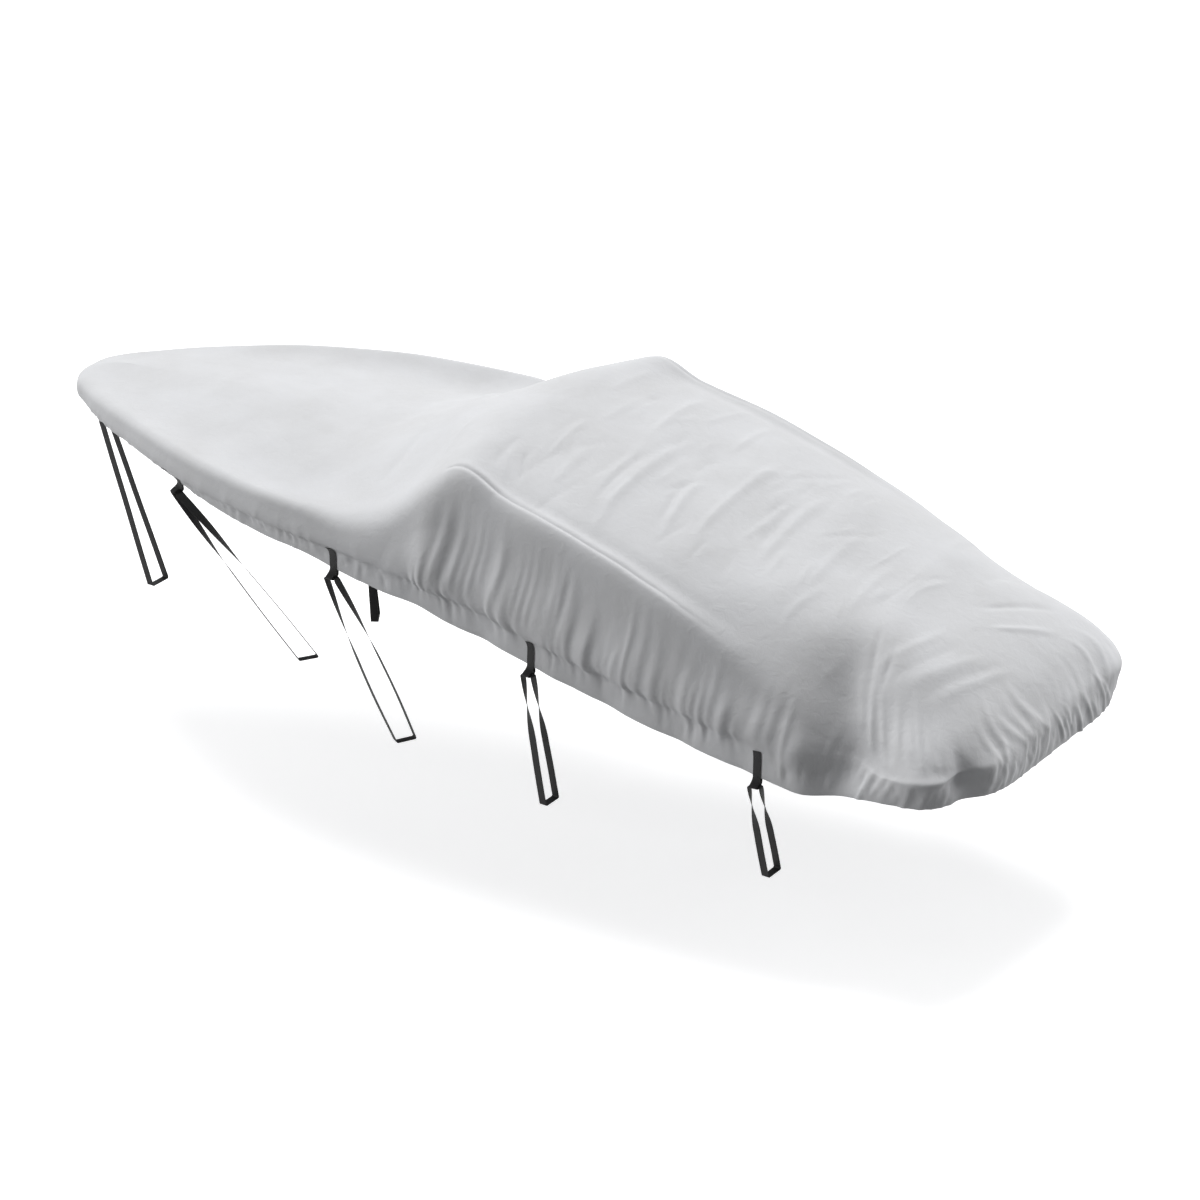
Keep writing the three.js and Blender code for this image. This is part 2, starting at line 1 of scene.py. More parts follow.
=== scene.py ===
# Look of the boat cover: creased coated cloth over the hull's form, webbing tabs and tie-down straps.
import math
import bpy
import numpy as np
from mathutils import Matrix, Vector


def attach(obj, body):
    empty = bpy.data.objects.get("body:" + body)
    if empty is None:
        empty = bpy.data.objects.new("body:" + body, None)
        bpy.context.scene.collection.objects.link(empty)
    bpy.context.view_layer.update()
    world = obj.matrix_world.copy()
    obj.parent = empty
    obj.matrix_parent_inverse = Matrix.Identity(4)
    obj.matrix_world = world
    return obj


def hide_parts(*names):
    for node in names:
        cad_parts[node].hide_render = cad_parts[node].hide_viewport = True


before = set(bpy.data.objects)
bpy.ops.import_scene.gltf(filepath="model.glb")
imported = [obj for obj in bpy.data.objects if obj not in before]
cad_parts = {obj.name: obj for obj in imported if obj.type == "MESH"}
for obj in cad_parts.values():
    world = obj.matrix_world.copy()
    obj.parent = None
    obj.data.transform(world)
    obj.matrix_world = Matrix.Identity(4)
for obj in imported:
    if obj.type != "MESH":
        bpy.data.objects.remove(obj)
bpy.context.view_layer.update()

boatOrigin = np.array([2930.0, 0.0, 1862.0])  # from the boat's own frame to the part's origin, mm

# Camera, light and floor, in metres.
studio = {
    "eye": (-13.4665, 19.0123, 9.7215),
    "look": (0.51215, -0.74519, -0.42736),
    "lens": 132.0,
    "floorZ": -2.36,
    "floorSize": 90.0,
    "floorColour": (0.93, 0.93, 0.935, 1.0),
    "floorGlow": 0.45,
    "lights": [  # name, where it comes from, power, width in degrees
        ("softTop", (0.27, -0.36, 0.90), 2.15, 34.0),
        ("softAft", (-0.52, -0.82, 0.16), 1.8, 40.0),
        ("softFore", (0.80, 0.52, 0.30), 1.35, 24.0),
    ],
    "skyColour": (0.985, 0.99, 1.0, 1.0),
    "skyUp": 0.40,
    "skyDown": 0.30,
    "horizon": (-0.12, 0.25),
    "brightSide": (0.40, -0.36, 0.0),  # how much brighter the room is to that side
}


# Sets a node's inputs by name; one that is given a socket is linked to it.
def fill(tree, node, inputs):
    for label, value in inputs.items():
        if isinstance(value, bpy.types.NodeSocket):
            tree.links.new(value, node.inputs[label])
        else:
            node.inputs[label].default_value = value


# Makes a node with its settings and hands back its outputs.
def newNode(tree, kind, inputs={}, **settings):
    node = tree.nodes.new(kind)
    for name, value in settings.items():
        setattr(node, name, value)
    fill(tree, node, inputs)
    return node.outputs


def mathNode(tree, operation, *values):
    return newNode(tree, "ShaderNodeMath", dict(enumerate(values)), operation=operation)[0]


# Turns an object so that its axis points the given way.
def aimed(obj, direction, axis, up):
    obj.rotation_mode = "QUATERNION"
    obj.rotation_quaternion = Vector(direction).to_track_quat(axis, up)
    bpy.context.scene.collection.objects.link(obj)
    return obj


def makeWorld(s):
    world = bpy.data.worlds.new("softRoom")
    bpy.context.scene.world = world
    world.use_nodes = True
    tree = world.node_tree
    tree.nodes.clear()
    towards = newNode(tree, "ShaderNodeTexCoord")["Generated"]
    height = newNode(tree, "ShaderNodeSeparateXYZ", {0: towards})["Z"]
    level = newNode(tree, "ShaderNodeMapRange", {
        "Value": height, "From Min": s["horizon"][0], "From Max": s["horizon"][1],
        "To Min": s["skyDown"], "To Max": s["skyUp"]})["Result"]
    side = newNode(tree, "ShaderNodeVectorMath", {0: towards, 1: s["brightSide"]}, operation="DOT_PRODUCT")
    strength = mathNode(tree, "MULTIPLY", level, mathNode(tree, "ADD", side["Value"], 1.0))
    back = newNode(tree, "ShaderNodeBackground", {"Color": s["skyColour"], "Strength": strength})
    newNode(tree, "ShaderNodeOutputWorld", {"Surface": back[0]})


def meshObject(name, points, edges, faces):
    mesh = bpy.data.meshes.new(name)
    mesh.from_pydata(points, edges, faces)
    obj = bpy.data.objects.new(name, mesh)
    bpy.context.scene.collection.objects.link(obj)
    return obj


def makeFloor(s):
    half = s["floorSize"] / 2
    corners = [(-half, -half), (half, -half), (half, half), (-half, half)]
    floor = meshObject("floor", [(x, y, s["floorZ"]) for x, y in corners], [], [(0, 1, 2, 3)])
    pale = bpy.data.materials.new("paleFloor")
    pale.use_nodes = True
    fill(pale.node_tree, pale.node_tree.nodes["Principled BSDF"], {
        "Base Color": s["floorColour"], "Roughness": 0.9, "Specular IOR Level": 0.1,
        "Emission Color": (1.0, 1.0, 1.0, 1.0), "Emission Strength": s["floorGlow"]})
    floor.data.materials.append(pale)
    floor.visible_diffuse = False


def makeStudio(s):
    scene = bpy.context.scene
    scene.view_settings.view_transform = "Standard"
    camera = bpy.data.objects.new("camera", bpy.data.cameras.new("camera"))
    camera.data.sensor_width = 36.0
    camera.data.lens = s["lens"]
    camera.data.clip_start = 0.5
    camera.data.clip_end = 200.0
    camera.location = s["eye"]
    scene.camera = aimed(camera, s["look"], "-Z", "Y")
    for name, fromWhere, power, width in s["lights"]:
        light = bpy.data.lights.new(name, "SUN")
        light.energy = power
        light.angle = math.radians(width)
        aimed(bpy.data.objects.new(name, light), fromWhere, "Z", "Y")
    makeWorld(s)
    makeFloor(s)


makeStudio(studio)
print("studio made")

flips = {"port": 1, "starboard": -1}


# Rows of a table as dictionaries with the given names.
def named(names, rows):
    return [dict(zip(names.split(), row)) for row in rows]


# The cloth's grid of lines and its sizes, in millimetres.
cloth = {
    "columns": 640,
    "sideRows": 33,
    "edgeRows": 5,  # rows close below the edge, edgeStep apart
    "edgeStep": 6.0,
    "nearEdge": [7, 13, 18, 22, 26, 30, 35, 42, 52, 66, 84, 106, 132, 162, 196],
    "topRows": 22,
    "thick": 2.5,
    "hemGap": 2.2,
    # Rows of the turned hem: share of the gap inward, height, and place on the cloth from its edge.
    "hemRows": [(1, 24, -30), (1, 8.4, -15), (0.85, -0.6, -3), (0.15, -0.6, -1)],
    "topHeight": 900.0,  # length over the top that counts as one height of the side
    "calmMiddle": 260.0,  # hanging folds die out this near the centre line
    "topFade": (10.0, 60.0),  # wrinkles of the top start this far outside the edge, over so much
    "endFade": 60.0,
    "endKeep": 0.15,  # share of the creases left at the bow and at the stern
    "wrinkleGain": 1.8,
    "flat": (4.0, 7.7),  # metres, and square metres below
    "flatArea": 22.3,
}

# The boat's lines under the cloth, in millimetres, as the solids have them. A row for each place
# round the boat from bow to stern: the edge of the top, how far out and how high the rail, the
# tuck and the hem are, and how the top runs from the edge to the spine.
outlineNames = "x y z outRail zRail outTuck zTuck outHem zHem foot dip dipIn crown belly".split()
outline = [
    [6350, 0, 1275, 10, 1180, -50, 1095, -120, 975, 6020, 0, 200, 2, 10],
    [6330, 110, 1282, 15, 1185, -50, 1102, -118, 980, 5990, 5, 200, 2, 10],
    [6255, 220, 1292, 20, 1195, -50, 1116, -117, 992, 5930, 10, 200, 2, 10],
    [6090, 350, 1312, 25, 1210, -52, 1160, -117, 1044, 5810, 15, 200, 2, 10],
    [5860, 500, 1340, 25, 1225, -48, 1175, -108, 1084, 5660, 20, 220, 2, 10],
    [5500, 690, 1375, 30, 1240, -44, 1190, -99, 1103, 5400, 30, 250, 2, 10],
    [5100, 875, 1398, 30, 1250, -40, 1200, -88, 1123, 5060, 40, 280, 2, 10],
    [4640, 1035, 1402, 30, 1250, -36, 1200, -74, 1113, 4640, 60, 300, 2, 10],
    [4175, 1130, 1400, 35, 1240, -32, 1190, -60, 1083, 4220, 85, 300, 2, 10],
    [3800, 1168, 1400, 35, 1225, -15, 1175, -36, 1078, 3920, 90, 300, 2, 10],
    [3500, 1168, 1390, 45, 1205, 5, 1170, -11, 1039, 3700, 45, 300, 2, 20],
    [3200, 1105, 1495, 115, 1180, 80, 1145, 66, 996, 3440, 10, 300, 1.8, 45],
    [2960, 1000, 1720, 215, 1145, 175, 1110, 163, 966, 3200, 0, 300, 2, 60],
    [2840, 995, 1805, 215, 1125, 175, 1090, 164, 938, 3080, 0, 300, 2.4, 20],
    [2500, 1020, 1718, 180, 1060, 145, 1025, 135, 876, 2620, 12, 100, 2.2, 20],
    [2000, 1040, 1607, 155, 960, 120, 925, 110, 772, 2050, 15, 100, 2.2, 20],
    [1500, 1055, 1458, 130, 865, 95, 827, 87, 663, 1520, 12, 100, 2.7, 30],
    [1000, 1035, 1290, 140, 790, 110, 751, 103, 587, 1060, 5, 120, 3.4, 25],
    [700, 1010, 1180, 152, 755, 137, 714, 131, 549, 800, 0, 120, 4.2, 25],
    [450, 970, 1090, 163, 740, 160, 630, 150, 520, 620, 0, 120, 4.2, 20],
    [200, 935, 1025, 140, 745, 151, 640, 165, 545, 460, 0, 120, 3.8, 15],
    [0, 930, 975, 125, 755, 140, 660, 127, 565, 340, 0, 120, 3.6, 15],
    [-170, 865, 948, 155, 755, 160, 680, 142, 575, 240, 0, 120, 3.2, 5],
    [-300, 735, 925, 150, 760, 145, 680, 120, 580, 160, 0, 120, 3, 0],
    [-350, 520, 930, 115, 770, 135, 680, 128, 580, 100, 0, 120, 2.8, 0],
    [-358, 260, 938, 107, 780, 127, 680, 120, 578, 60, 0, 120, 2.8, 0],
    [-360, 0, 942, 105, 780, 125, 680, 118, 578, 50, 0, 120, 2.8, 0],
]

# Place and height of the centre line, stern to bow.
spine = np.array([
    [-380, 1015], [-200, 1080], [0, 1150], [500, 1298], [1000, 1435], [1600, 1595],
    [2200, 1735], [2700, 1842], [2930, 1878], [3080, 1850], [3250, 1775], [3500, 1665],
    [3750, 1560], [3950, 1490], [4200, 1462], [4500, 1452], [5000, 1435], [5500, 1405],
    [6000, 1355], [6350, 1315],
], float)

# Folds of the side, half their half width; they fade out from low to high, shares of the height.
folds = named("row depth half atHem low high sides", [
    [19.8, -105, 150, 0.5, 0.45, 1.4, "port"],
    [20, -95, 140, 0.5, 0.35, 0.9, "starboard"],
    [22.95, -75, 85, 0.5, 0.45, 1, "port"],
    [18.9, 14, 90, 1, 0.45, 1.05, "both"],
    [17.6, -12, 80, 1, 0.3, 0.8, "port"],
    [16.5, -14, 90, 1, 0.25, 0.75, "port"],
    [15.6, -12, 90, 1, 0.3, 0.8, "port"],
    [14.9, 12, 90, 1, 0.4, 0.85, "port"],
    [13.9, -14, 80, 1, 0.35, 0.9, "port"],
    [12.4, -12, 80, 1, 0.3, 0.7, "port"],
    [10.6, -10, 80, 1, 0.3, 0.7, "port"],
    [17.3, -13, 90, 1, 0.3, 0.75, "starboard"],
    [16.2, 12, 90, 1, 0.35, 0.8, "starboard"],
    [15.3, -14, 90, 1, 0.3, 0.8, "starboard"],
    [14.2, -12, 90, 1, 0.4, 0.85, "starboard"],
    [12.8, -13, 80, 1, 0.3, 0.75, "starboard"],
    [10.9, -10, 80, 1, 0.3, 0.7, "starboard"],
])
platform = {"row": 22.0, "half": 200, "proud": 40, "height": 830, "tall": 110}

# Where the edge lies lower than the outline table gives it and the top rolls over it in a wide
# round: wide is how far the round reaches to each side of the edge.
shoulders = named("row drop half inboard wide sides", [
    [20.9, 105, 500, 0, 320, "port"],
    [17.7, 60, 480, 0, 250, "port"],
    [19.5, 75, 150, 90, 260, "port"],
])
# How far to each side of the edge the cloth is rounded, against the row of the outline table.
roundRows = [0, 9, 11.5, 12.6, 16.2, 17.5, 26]
roundReach = [45, 55, 130, 30, 30, 110, 110]

# Low ridges of the top over what stands below it.
ridges = named("x1 y1 x2 y2 height half", [
    [2050, 620, 2300, -520, 12, 110],
    [1450, 760, 1750, -700, 13, 130],
    [900, 700, 1150, -760, 12, 120],
    [330, 620, 520, -640, 12, 110],
    [4500, -300, 4150, 620, -8, 160],
])
ridgeFade = 0.15

# From here on, creases that only the cloth itself has. First those along the top's edge aft of the
# windscreen: inboard is measured from the edge, and a line is a ridge where height is positive.
edgeLines = named("inboard height half fromRow toRow fade", [
    [20, -6.5, 11, 12.55, 17, 1.5],
    [-12, 2.5, 18, 12.6, 17.3, 1.3],
    [52, 4.5, 22, 12.9, 16.6, 1.2],
    [105, -3.5, 34, 14.2, 17.4, 0.9],
    [170, 3.5, 45, 14.4, 17, 0.9],
])

# Wrinkles of the top, from one point to the other: bend is how far the middle bows forward.
wrinkles = named("x1 y1 x2 y2 bend height half", [
    [2000, 790, 2075, -330, 25, 6, 34],
    [2085, 700, 2150, 60, 15, -5, 26],
    [1640, 680, 1800, -40, 30, 5.5, 30],
    [1710, 620, 1850, 60, 20, -4, 24],
    [1490, 640, 1600, -560, 35, 6, 32],
    [1130, 520, 1250, -480, 30, 5, 34],
    [1210, 420, 1310, -260, 20, -4, 26],
    [2480, 860, 2640, 560, 10, -5, 16],
    [2560, 880, 2700, 620, 10, 4, 20],
    [2330, 760, 2400, 240, 20, 4, 36],
    [2250, -120, 2330, -820, 15, 5, 32],
    [1850, -330, 1900, -900, 20, 4.5, 30],
    [820, 560, 930, -380, 25, 4.5, 36],
    [560, 520, 640, -160, 20, 4, 34],
    [300, 700, 120, 120, -20, 4.5, 26],
    [200, 720, 10, 150, -20, -4, 22],
    [110, 700, -110, 120, -20, 4.5, 24],
    [10, 690, -190, 100, -20, -3.5, 20],
    [-60, 660, -250, 30, -20, 4, 22],
    [20, -60, -230, -500, -10, 4, 26],
    [150, -180, -90, -700, -10, -4, 28],
    [3310, -60, 3730, -1120, 60, -10, 34],
    [3420, -80, 3830, -1090, 60, 5, 40],
    [3560, 250, 3480, 900, -20, -4, 40],
    [3050, 860, 3190, 240, 10, 4, 30],
    [3900, -520, 3700, 120, 30, 3.5, 60],
    [4700, -380, 4450, 330, 40, 3, 70],
    [5300, -250, 5150, 260, 20, 3, 60],
])

# Families of small hanging folds: count of them between two rows of the outline, each with its own
# half width, depth and span of the height, drawn between the two values given.
families = named("sides fromRow toRow count half depth low high lean", [
    ["port", 12.75, 15.2, 15, (14, 28), (4, 9), (0.2, 0.45), (0.84, 0.98), 26],
    ["starboard", 12.9, 15.6, 14, (14, 28), (4, 8), (0.2, 0.45), (0.82, 0.96), 26],
    ["both", 15, 19.6, 36, (13, 30), (3, 10), (0, 0.25), (0.5, 1), 45],
    ["both", 9, 14.5, 34, (14, 32), (2.5, 8), (0, 0.15), (0.4, 0.8), 30],
    ["both", 1.5, 10.5, 62, (12, 28), (2, 6.5), (-0.1, 0.1), (0.4, 0.9), 24],
    ["port", 20.2, 22.7, 18, (10, 20), (3.5, 8), (-0.2, 0), (0.38, 0.6), 60],
    ["starboard", 20.4, 23.2, 18, (10, 20), (3.5, 8), (-0.2, 0), (0.38, 0.6), 60],
    ["port", 20.2, 22.6, 11, (14, 24), (4, 8), (0.4, 0.6), (0.95, 1.2), -90],
    ["port", 23.3, 26, 17, (10, 20), (3.5, 8), (-0.2, 0.05), (0.4, 0.9), 90],
    ["starboard", 23.3, 26, 21, (10, 20), (3.5, 8.5), (-0.2, 0.05), (0.4, 0.9), 90],
    ["port", 22.7, 26, 9, (18, 36), (4, 8.5), (0.3, 0.6), (1.05, 1.35), -160],
    ["starboard", 22.9, 26, 9, (18, 36), (4, 8.5), (0.3, 0.6), (1.05, 1.35), -160],
])

# Gathers where the cloth tucks under the rubbing rail: at is their height as a share.
gathers = named("fromRow toRow count half depth at tall", [
    [7.5, 19.3, 52, (12, 28), (-11, -3.5), (0.13, 0.26), (0.06, 0.12)],
    [1, 7.5, 26, (10, 22), (-5, -2), (0.2, 0.34), (0.06, 0.11)],
    [19.3, 26, 28, (10, 20), (-6, -2.5), (0.22, 0.36), (0.07, 0.12)],
])

# How folds, gathers and wrinkles are scattered, lean, bow, widen and fade.
foldShape = {"scatter": 0.35, "lean": (0.4, 1.5), "bow": (-12, 12), "widen": 0.5,
             "fadeLow": 0.14, "fadeHigh": 0.55}
gatherShape = {"scatter": 0.45, "lean": (-160, 160)}
wrinkleShape = {"narrow": 0.7, "widen": 0.5, "fade": 0.28}
# The crease along the edge: its waves and their lengths, where it starts, its share on each side.
edgeWander = [(3, 130.0, 0), (1.5, 47.0, 1)]
edgeStart = 0.3
creaseShare = {"port": 1.0, "starboard": 0.5}

looseWrinkles = {"count": 70, "x": (150, 2750), "y": (-820, 820), "length": (200, 560),
                 "height": (2.0, 6.0), "half": (16, 36), "bend": (-12, 22), "turn": (0.08, 0.30), "seed": 11}

# Wide hollows and swells of the side between what carries it.
dents = named("sides row up half tall out", [
    ["port", 20.7, 0.5, 115, 0.42, -44],
    ["port", 22.9, 0.36, 70, 0.26, -46],
    ["port", 21.8, 0.62, 110, 0.25, 12],
    ["port", 12.25, 0.42, 150, 0.3, 30],
    ["starboard", 12.25, 0.42, 150, 0.3, 20],
])

# Where the side turns softly below the windscreen's corner, over so many columns.
cornerSoft = {"row": 12.1, "half": 1.1, "columns": 7.0}
swell = {"waves": 14, "long": (320, 900), "height": 0.9, "seed": 5}


def ease(t):
    t = np.clip(t, 0.0, 1.0)
    return t * t * (3 - 2 * t)


def hump(t):
    return np.exp(-t * t)


def summed(steps):
    return np.concatenate([[0], np.cumsum(steps)])


# Length along a line of points, and along every line of a half.
def runOf(points):
    return summed(np.linalg.norm(np.diff(points, axis=0), axis=1))


def girthOf(lines):
    steps = np.linalg.norm(np.diff(lines, axis=1), axis=2)
    return np.concatenate([np.zeros((len(lines), 1)), np.cumsum(steps, axis=1)], axis=1)


def pointAt(far, run, points):
    return np.array([np.interp(far, run, points[:, c]) for c in range(3)])


# The curve from start to stop, leaving and arriving along the given slopes.
def curveAt(t, start, leave, stop, arrive, span=1.0):
    return ((2 * t**3 - 3 * t**2 + 1) * start + (t**3 - 2 * t**2 + t) * span * leave
            + (3 * t**2 - 2 * t**3) * stop + (t**3 - t**2) * span * arrive)


# Smooth curve through rows of numbers at the given knots.
def through(knots, rows, at):
    knots = np.asarray(knots, float)
    rows = np.asarray(rows, float)
    at = np.atleast_1d(np.asarray(at, float))
    gap = np.diff(knots)
    rise = np.diff(rows, axis=0) / gap[:, None]
    slope = np.empty_like(rows)
    slope[0] = rise[0]
    slope[-1] = rise[-1]
    both = (gap[:-1] + gap[1:])[:, None]
    slope[1:-1] = (rise[:-1] * gap[1:, None] + rise[1:] * gap[:-1, None]) / both
    i = np.clip(np.searchsorted(knots, at) - 1, 0, len(knots) - 2)
    t = ((at - knots[i]) / gap[i])[:, None]
    return curveAt(t, rows[i], slope[i], rows[i + 1], slope[i + 1], gap[i][:, None])


table = np.array(outline, float)
reach = summed(np.hypot(*np.diff(table[:, :2], axis=0).T))
flipped = table * np.array([1, -1] + [1] * 12)
wholeKnots = np.concatenate([-reach[[3, 2, 1]], reach, 2 * reach[-1] - reach[[-2, -3, -4]]])
wholeRows = np.concatenate([flipped[[3, 2, 1]], table, flipped[[-2, -3, -4]]])


def reachAt(row):
    return np.interp(row, np.arange(len(reach)), reach)


def rowAt(s):
    return np.interp(s, reach, np.arange(len(reach)))


# 1 at a fold's row, falling away to both sides of it.
def aboutRow(s, item):
    return hump((s - reachAt(item["row"])) / item["half"])


def ofSide(table, side):
    return [item for item in table if item["sides"] in ("both", side)]


def outlineAt(s):
    s = np.atleast_1d(np.asarray(s, float))
    values = through(wholeKnots, wholeRows, s)
    here = {name: values[:, c] for c, name in enumerate(outlineNames)}
    step = through(wholeKnots, wholeRows, s + 1) - through(wholeKnots, wholeRows, s - 1)
    along = np.hypot(step[:, 0], step[:, 1])
    here["nx"] = step[:, 1] / along
    here["ny"] = -step[:, 0] / along
    here["s"] = s
    return here


def spineZ(x):
    return through(spine[:, 0], spine[:, 1:], np.ravel(x))[:, 0].reshape(np.shape(x))


# Points of the top on the lines from the edge to the centre line; share is 0 to 1 for each line.
def topPoints(here, share):
    col = {name: here[name][:, None] for name in outlineNames}
    x = col["x"] + (col["foot"] - col["x"]) * share
    y = col["y"] * (1 - share)
    drop = (spineZ(here["x"])[:, None] - col["z"]) * (1 - share) ** col["crown"]
    w = share * np.hypot(col["foot"] - col["x"], col["y"]) / col["dipIn"]
    z = spineZ(x) - drop - col["dip"] * (w * np.exp(1 - w)) ** 2
    return np.stack([x, y, z], axis=-1)


sideForm = {"middle": 0.55, "middleOut": 0.45, "beyond": 0.12}


# The points that each line passes from the hem to the edge, and one beyond it on the top.
def sideKeys(here):
    def at(out, z):
        return np.stack([here["x"] + here["nx"] * out, here["y"] + here["ny"] * out, z], axis=-1)

    beyond = topPoints(here, np.full((len(here["s"]), 1), sideForm["beyond"]))[:, 0]
    middle = here["zRail"] + (here["z"] - here["zRail"]) * sideForm["middle"]
    return np.stack([
        at(here["outHem"], here["zHem"]),
        at(here["outTuck"], here["zTuck"]),
        at(here["outRail"], here["zRail"]),
        at(sideForm["middleOut"] * here["outRail"] + here["belly"], middle),
        at(0 * here["s"], here["z"]),
        beyond,
    ], axis=1)


# How far the folds and the swim platform push the side out.
def foldOut(here, z, side):
    low = here["zHem"][:, None]
    share = (z - low) / (here["z"][:, None] - low)
    s = here["s"][:, None]
    out = np.zeros_like(z)
    for fold in ofSide(folds, side):
        rising = fold["atHem"] + (1 - fold["atHem"]) * ease(share / fold["low"])
        gone = 1 - ease((share - fold["low"]) / (fold["high"] - fold["low"]))
        out += fold["depth"] * aboutRow(s, fold) * rising * gone
    shelf = platform["proud"] * aboutRow(s, platform)
    return out + shelf * hump((z - platform["height"]) / platform["tall"])


def shoulderDown(here, over, side):
    down = np.zeros_like(over)
    for shoulder in ofSide(shoulders, side):
        rolled = hump((over - shoulder["inboard"]) / shoulder["wide"])
        down += shoulder["drop"] * aboutRow(here["s"], shoulder)[:, None] * rolled
    return down


# Share along a line over the top, and the distance aft of it.
def acrossTop(x, y, line, bend=0.0):
    dx = line["x2"] - line["x1"]
    dy = line["y2"] - line["y1"]
    length = math.hypot(dx, dy)
    along = ((x - line["x1"]) * dx + (y - line["y1"]) * dy) / length**2
    off = ((x - line["x1"]) * dy - (y - line["y1"]) * dx) / length
    off = off * (1 if dy < 0 else -1) + bend * 4 * along * (1 - along)
    return along, off


def ridgeUp(x, y):
    up = np.zeros_like(x)
    for ridge in ridges:
        along, off = acrossTop(x, y, ridge)
        ends = ease((along + ridgeFade) / (2 * ridgeFade)) * ease((1 + ridgeFade - along) / (2 * ridgeFade))
        up += ridge["height"] * hump(off / ridge["half"]) * ends
    return up


topForm = {
    "fullLength": 900.0,  # a shorter top draws the rows near the edge together
    "spread": 0.97,
    "foldsGone": (0.10, 0.12),  # share over the top where folds start to go, and over how much
    "ridgesIn": 0.03,
    "shouldersIn": (640.0, 200.0),  # height where lowered shoulders start, and over how much
}


# All lines of one half, from the hem over the edge to the centre line, at the places s.
def baseHalf(s, side):
    form, sideRows, topRows = topForm, cloth["sideRows"], cloth["topRows"]
    below = cloth["edgeStep"] * np.arange(cloth["edgeRows"] - 1, -1, -1)
    evenRows = sideRows - len(below) + 1
    here = outlineAt(s)
    here["nx"][[0, -1]] = 1, -1
    here["ny"][[0, -1]] = 0
    keys = sideKeys(here)
    low = np.empty((len(s), sideRows + 1, 3))
    over = np.empty((len(s), sideRows + 1))
    for i, points in enumerate(keys):
        knots = runOf(points)
        plain = (knots[4] - below[0]) * np.arange(evenRows) / evenRows
        stops = np.concatenate([plain, knots[4] - below])
        low[i] = through(knots, points, stops)
        over[i] = stops - knots[4]
    length = np.hypot(here["foot"] - here["x"], here["y"])[:, None]
    steps = np.array(cloth["nearEdge"], float)[None, :] * np.minimum(1, length / form["fullLength"])
    first = steps[:, -1:] / length
    inner = first + (1 - first) * (np.arange(1, topRows + 1) / topRows)[None, :] ** form["spread"]
    share = np.concatenate([steps / length, inner], axis=1)
    high = topPoints(here, share)
    lines = np.concatenate([low, high], axis=1)
    over = np.concatenate([over, share * length], axis=1)
    topShare = np.concatenate([np.zeros((len(s), sideRows + 1)), share], axis=1)
    start, fade = form["foldsGone"]
    out = foldOut(here, lines[:, :, 2], side) * (1 - ease((topShare - start) / fade))
    start, fade = form["shouldersIn"]
    lines[:, :, 2] -= shoulderDown(here, over, side) * ease((lines[:, :, 2] - start) / fade)
    lines[:, :, 0] += here["nx"][:, None] * out
    lines[:, :, 1] += here["ny"][:, None] * out
    lines[:, :, 1] *= flips[side]
    up = ridgeUp(lines[:, :, 0], lines[:, :, 1])
    lines[:, :, 2] += up * ease(topShare / form["ridgesIn"])
    return here, roundedEdge(lines, rowAt(s))


# The edge between the top and the side as a round instead of a corner.
def roundedEdge(lines, row):
    out = lines.copy()
    reaches = np.interp(row, roundRows, roundReach)
    girth = girthOf(lines)
    corner = cloth["sideRows"]
    near = 8  # millimetres to each side of the round's ends, for the slopes there
    for i, far in enumerate(reaches):
        over = girth[i] - girth[i, corner]
        t = (over + far) / (2 * far)
        stops = (-far - near, -far + near, far - near, far + near)
        a0, a1, b0, b1 = (pointAt(v, over, lines[i]) for v in stops)
        start, stop = (a0 + a1) / 2, (b0 + b1) / 2
        leave, arrive = ((p1 - p0) / (2 * near) * 2 * far for p0, p1 in ((a0, a1), (b0, b1)))
        inside = (t > 0) & (t < 1)
        out[i, inside] = curveAt(t[inside][:, None], start, leave, stop, arrive)
    return out


# Outward normals of the lines of one half.
def normalsOf(lines, side):
    du = np.gradient(lines, axis=0)
    dv = np.gradient(lines, axis=1)
    n = np.cross(dv, du)
    n /= np.linalg.norm(n, axis=2)[:, :, None] + 1e-9
    return -flips[side] * n


# The ties: the row where each leaves the hem, and where its strap turns back at its lowest.
ties = named("name row x y zLow half turn slack", [
    ["bow", 0, 5890, 0, -90, 74, 0, 0],
    ["1", 6.25, 4440, 340, -85, 62, 32, 14],
    ["2", 9.75, 3310, 868, -88, 62, 28, 22],
    ["3", 14.6, 2190, 1002, -98, 62, 0, 4],
    ["4", 17.9, 700, 1002, -95, 62, 0, 4],
])
tabClear = {"beside": 34.0, "fadeBeside": 75.0, "above": 190.0, "fadeAbove": 90.0}


# Every tie with its name in the solids and its side; the one at the bow comes last.
def eachTie():
    for side in ("port", "starboard"):
        for tie in ties[1:]:
            yield side + "_" + tie["name"], side, tie
    yield "bow", "port", ties[0]


# Places of the cloth's lines along the outline: closer where the cloth is more creased.
def lineStops():
    rows = [0, 2, 9, 12.4, 15.5, 19, 20, 26]
    close = [1.1, 0.85, 0.85, 1.25, 1.15, 1.0, 1.3, 1.45]
    fine = np.linspace(0, reach[-1], 4001)
    weight = np.interp(rowAt(fine), rows, close)
    done = summed((weight[1:] + weight[:-1]) / 2)
    stops = np.interp(np.linspace(0, done[-1], cloth["columns"] + 1), done, fine)
    stops[0], stops[-1] = 0, reach[-1]
    return stops


def between(rng, pair):
    return rng.uniform(pair[0], pair[1])


def placesOf(rng, row, scatter):
    start, stop = reachAt(row["fromRow"]), reachAt(row["toRow"])
    step = (stop - start) / row["count"]
    for k in range(row["count"]):
        yield start + step * (k + 0.5 + rng.uniform(-scatter, scatter))


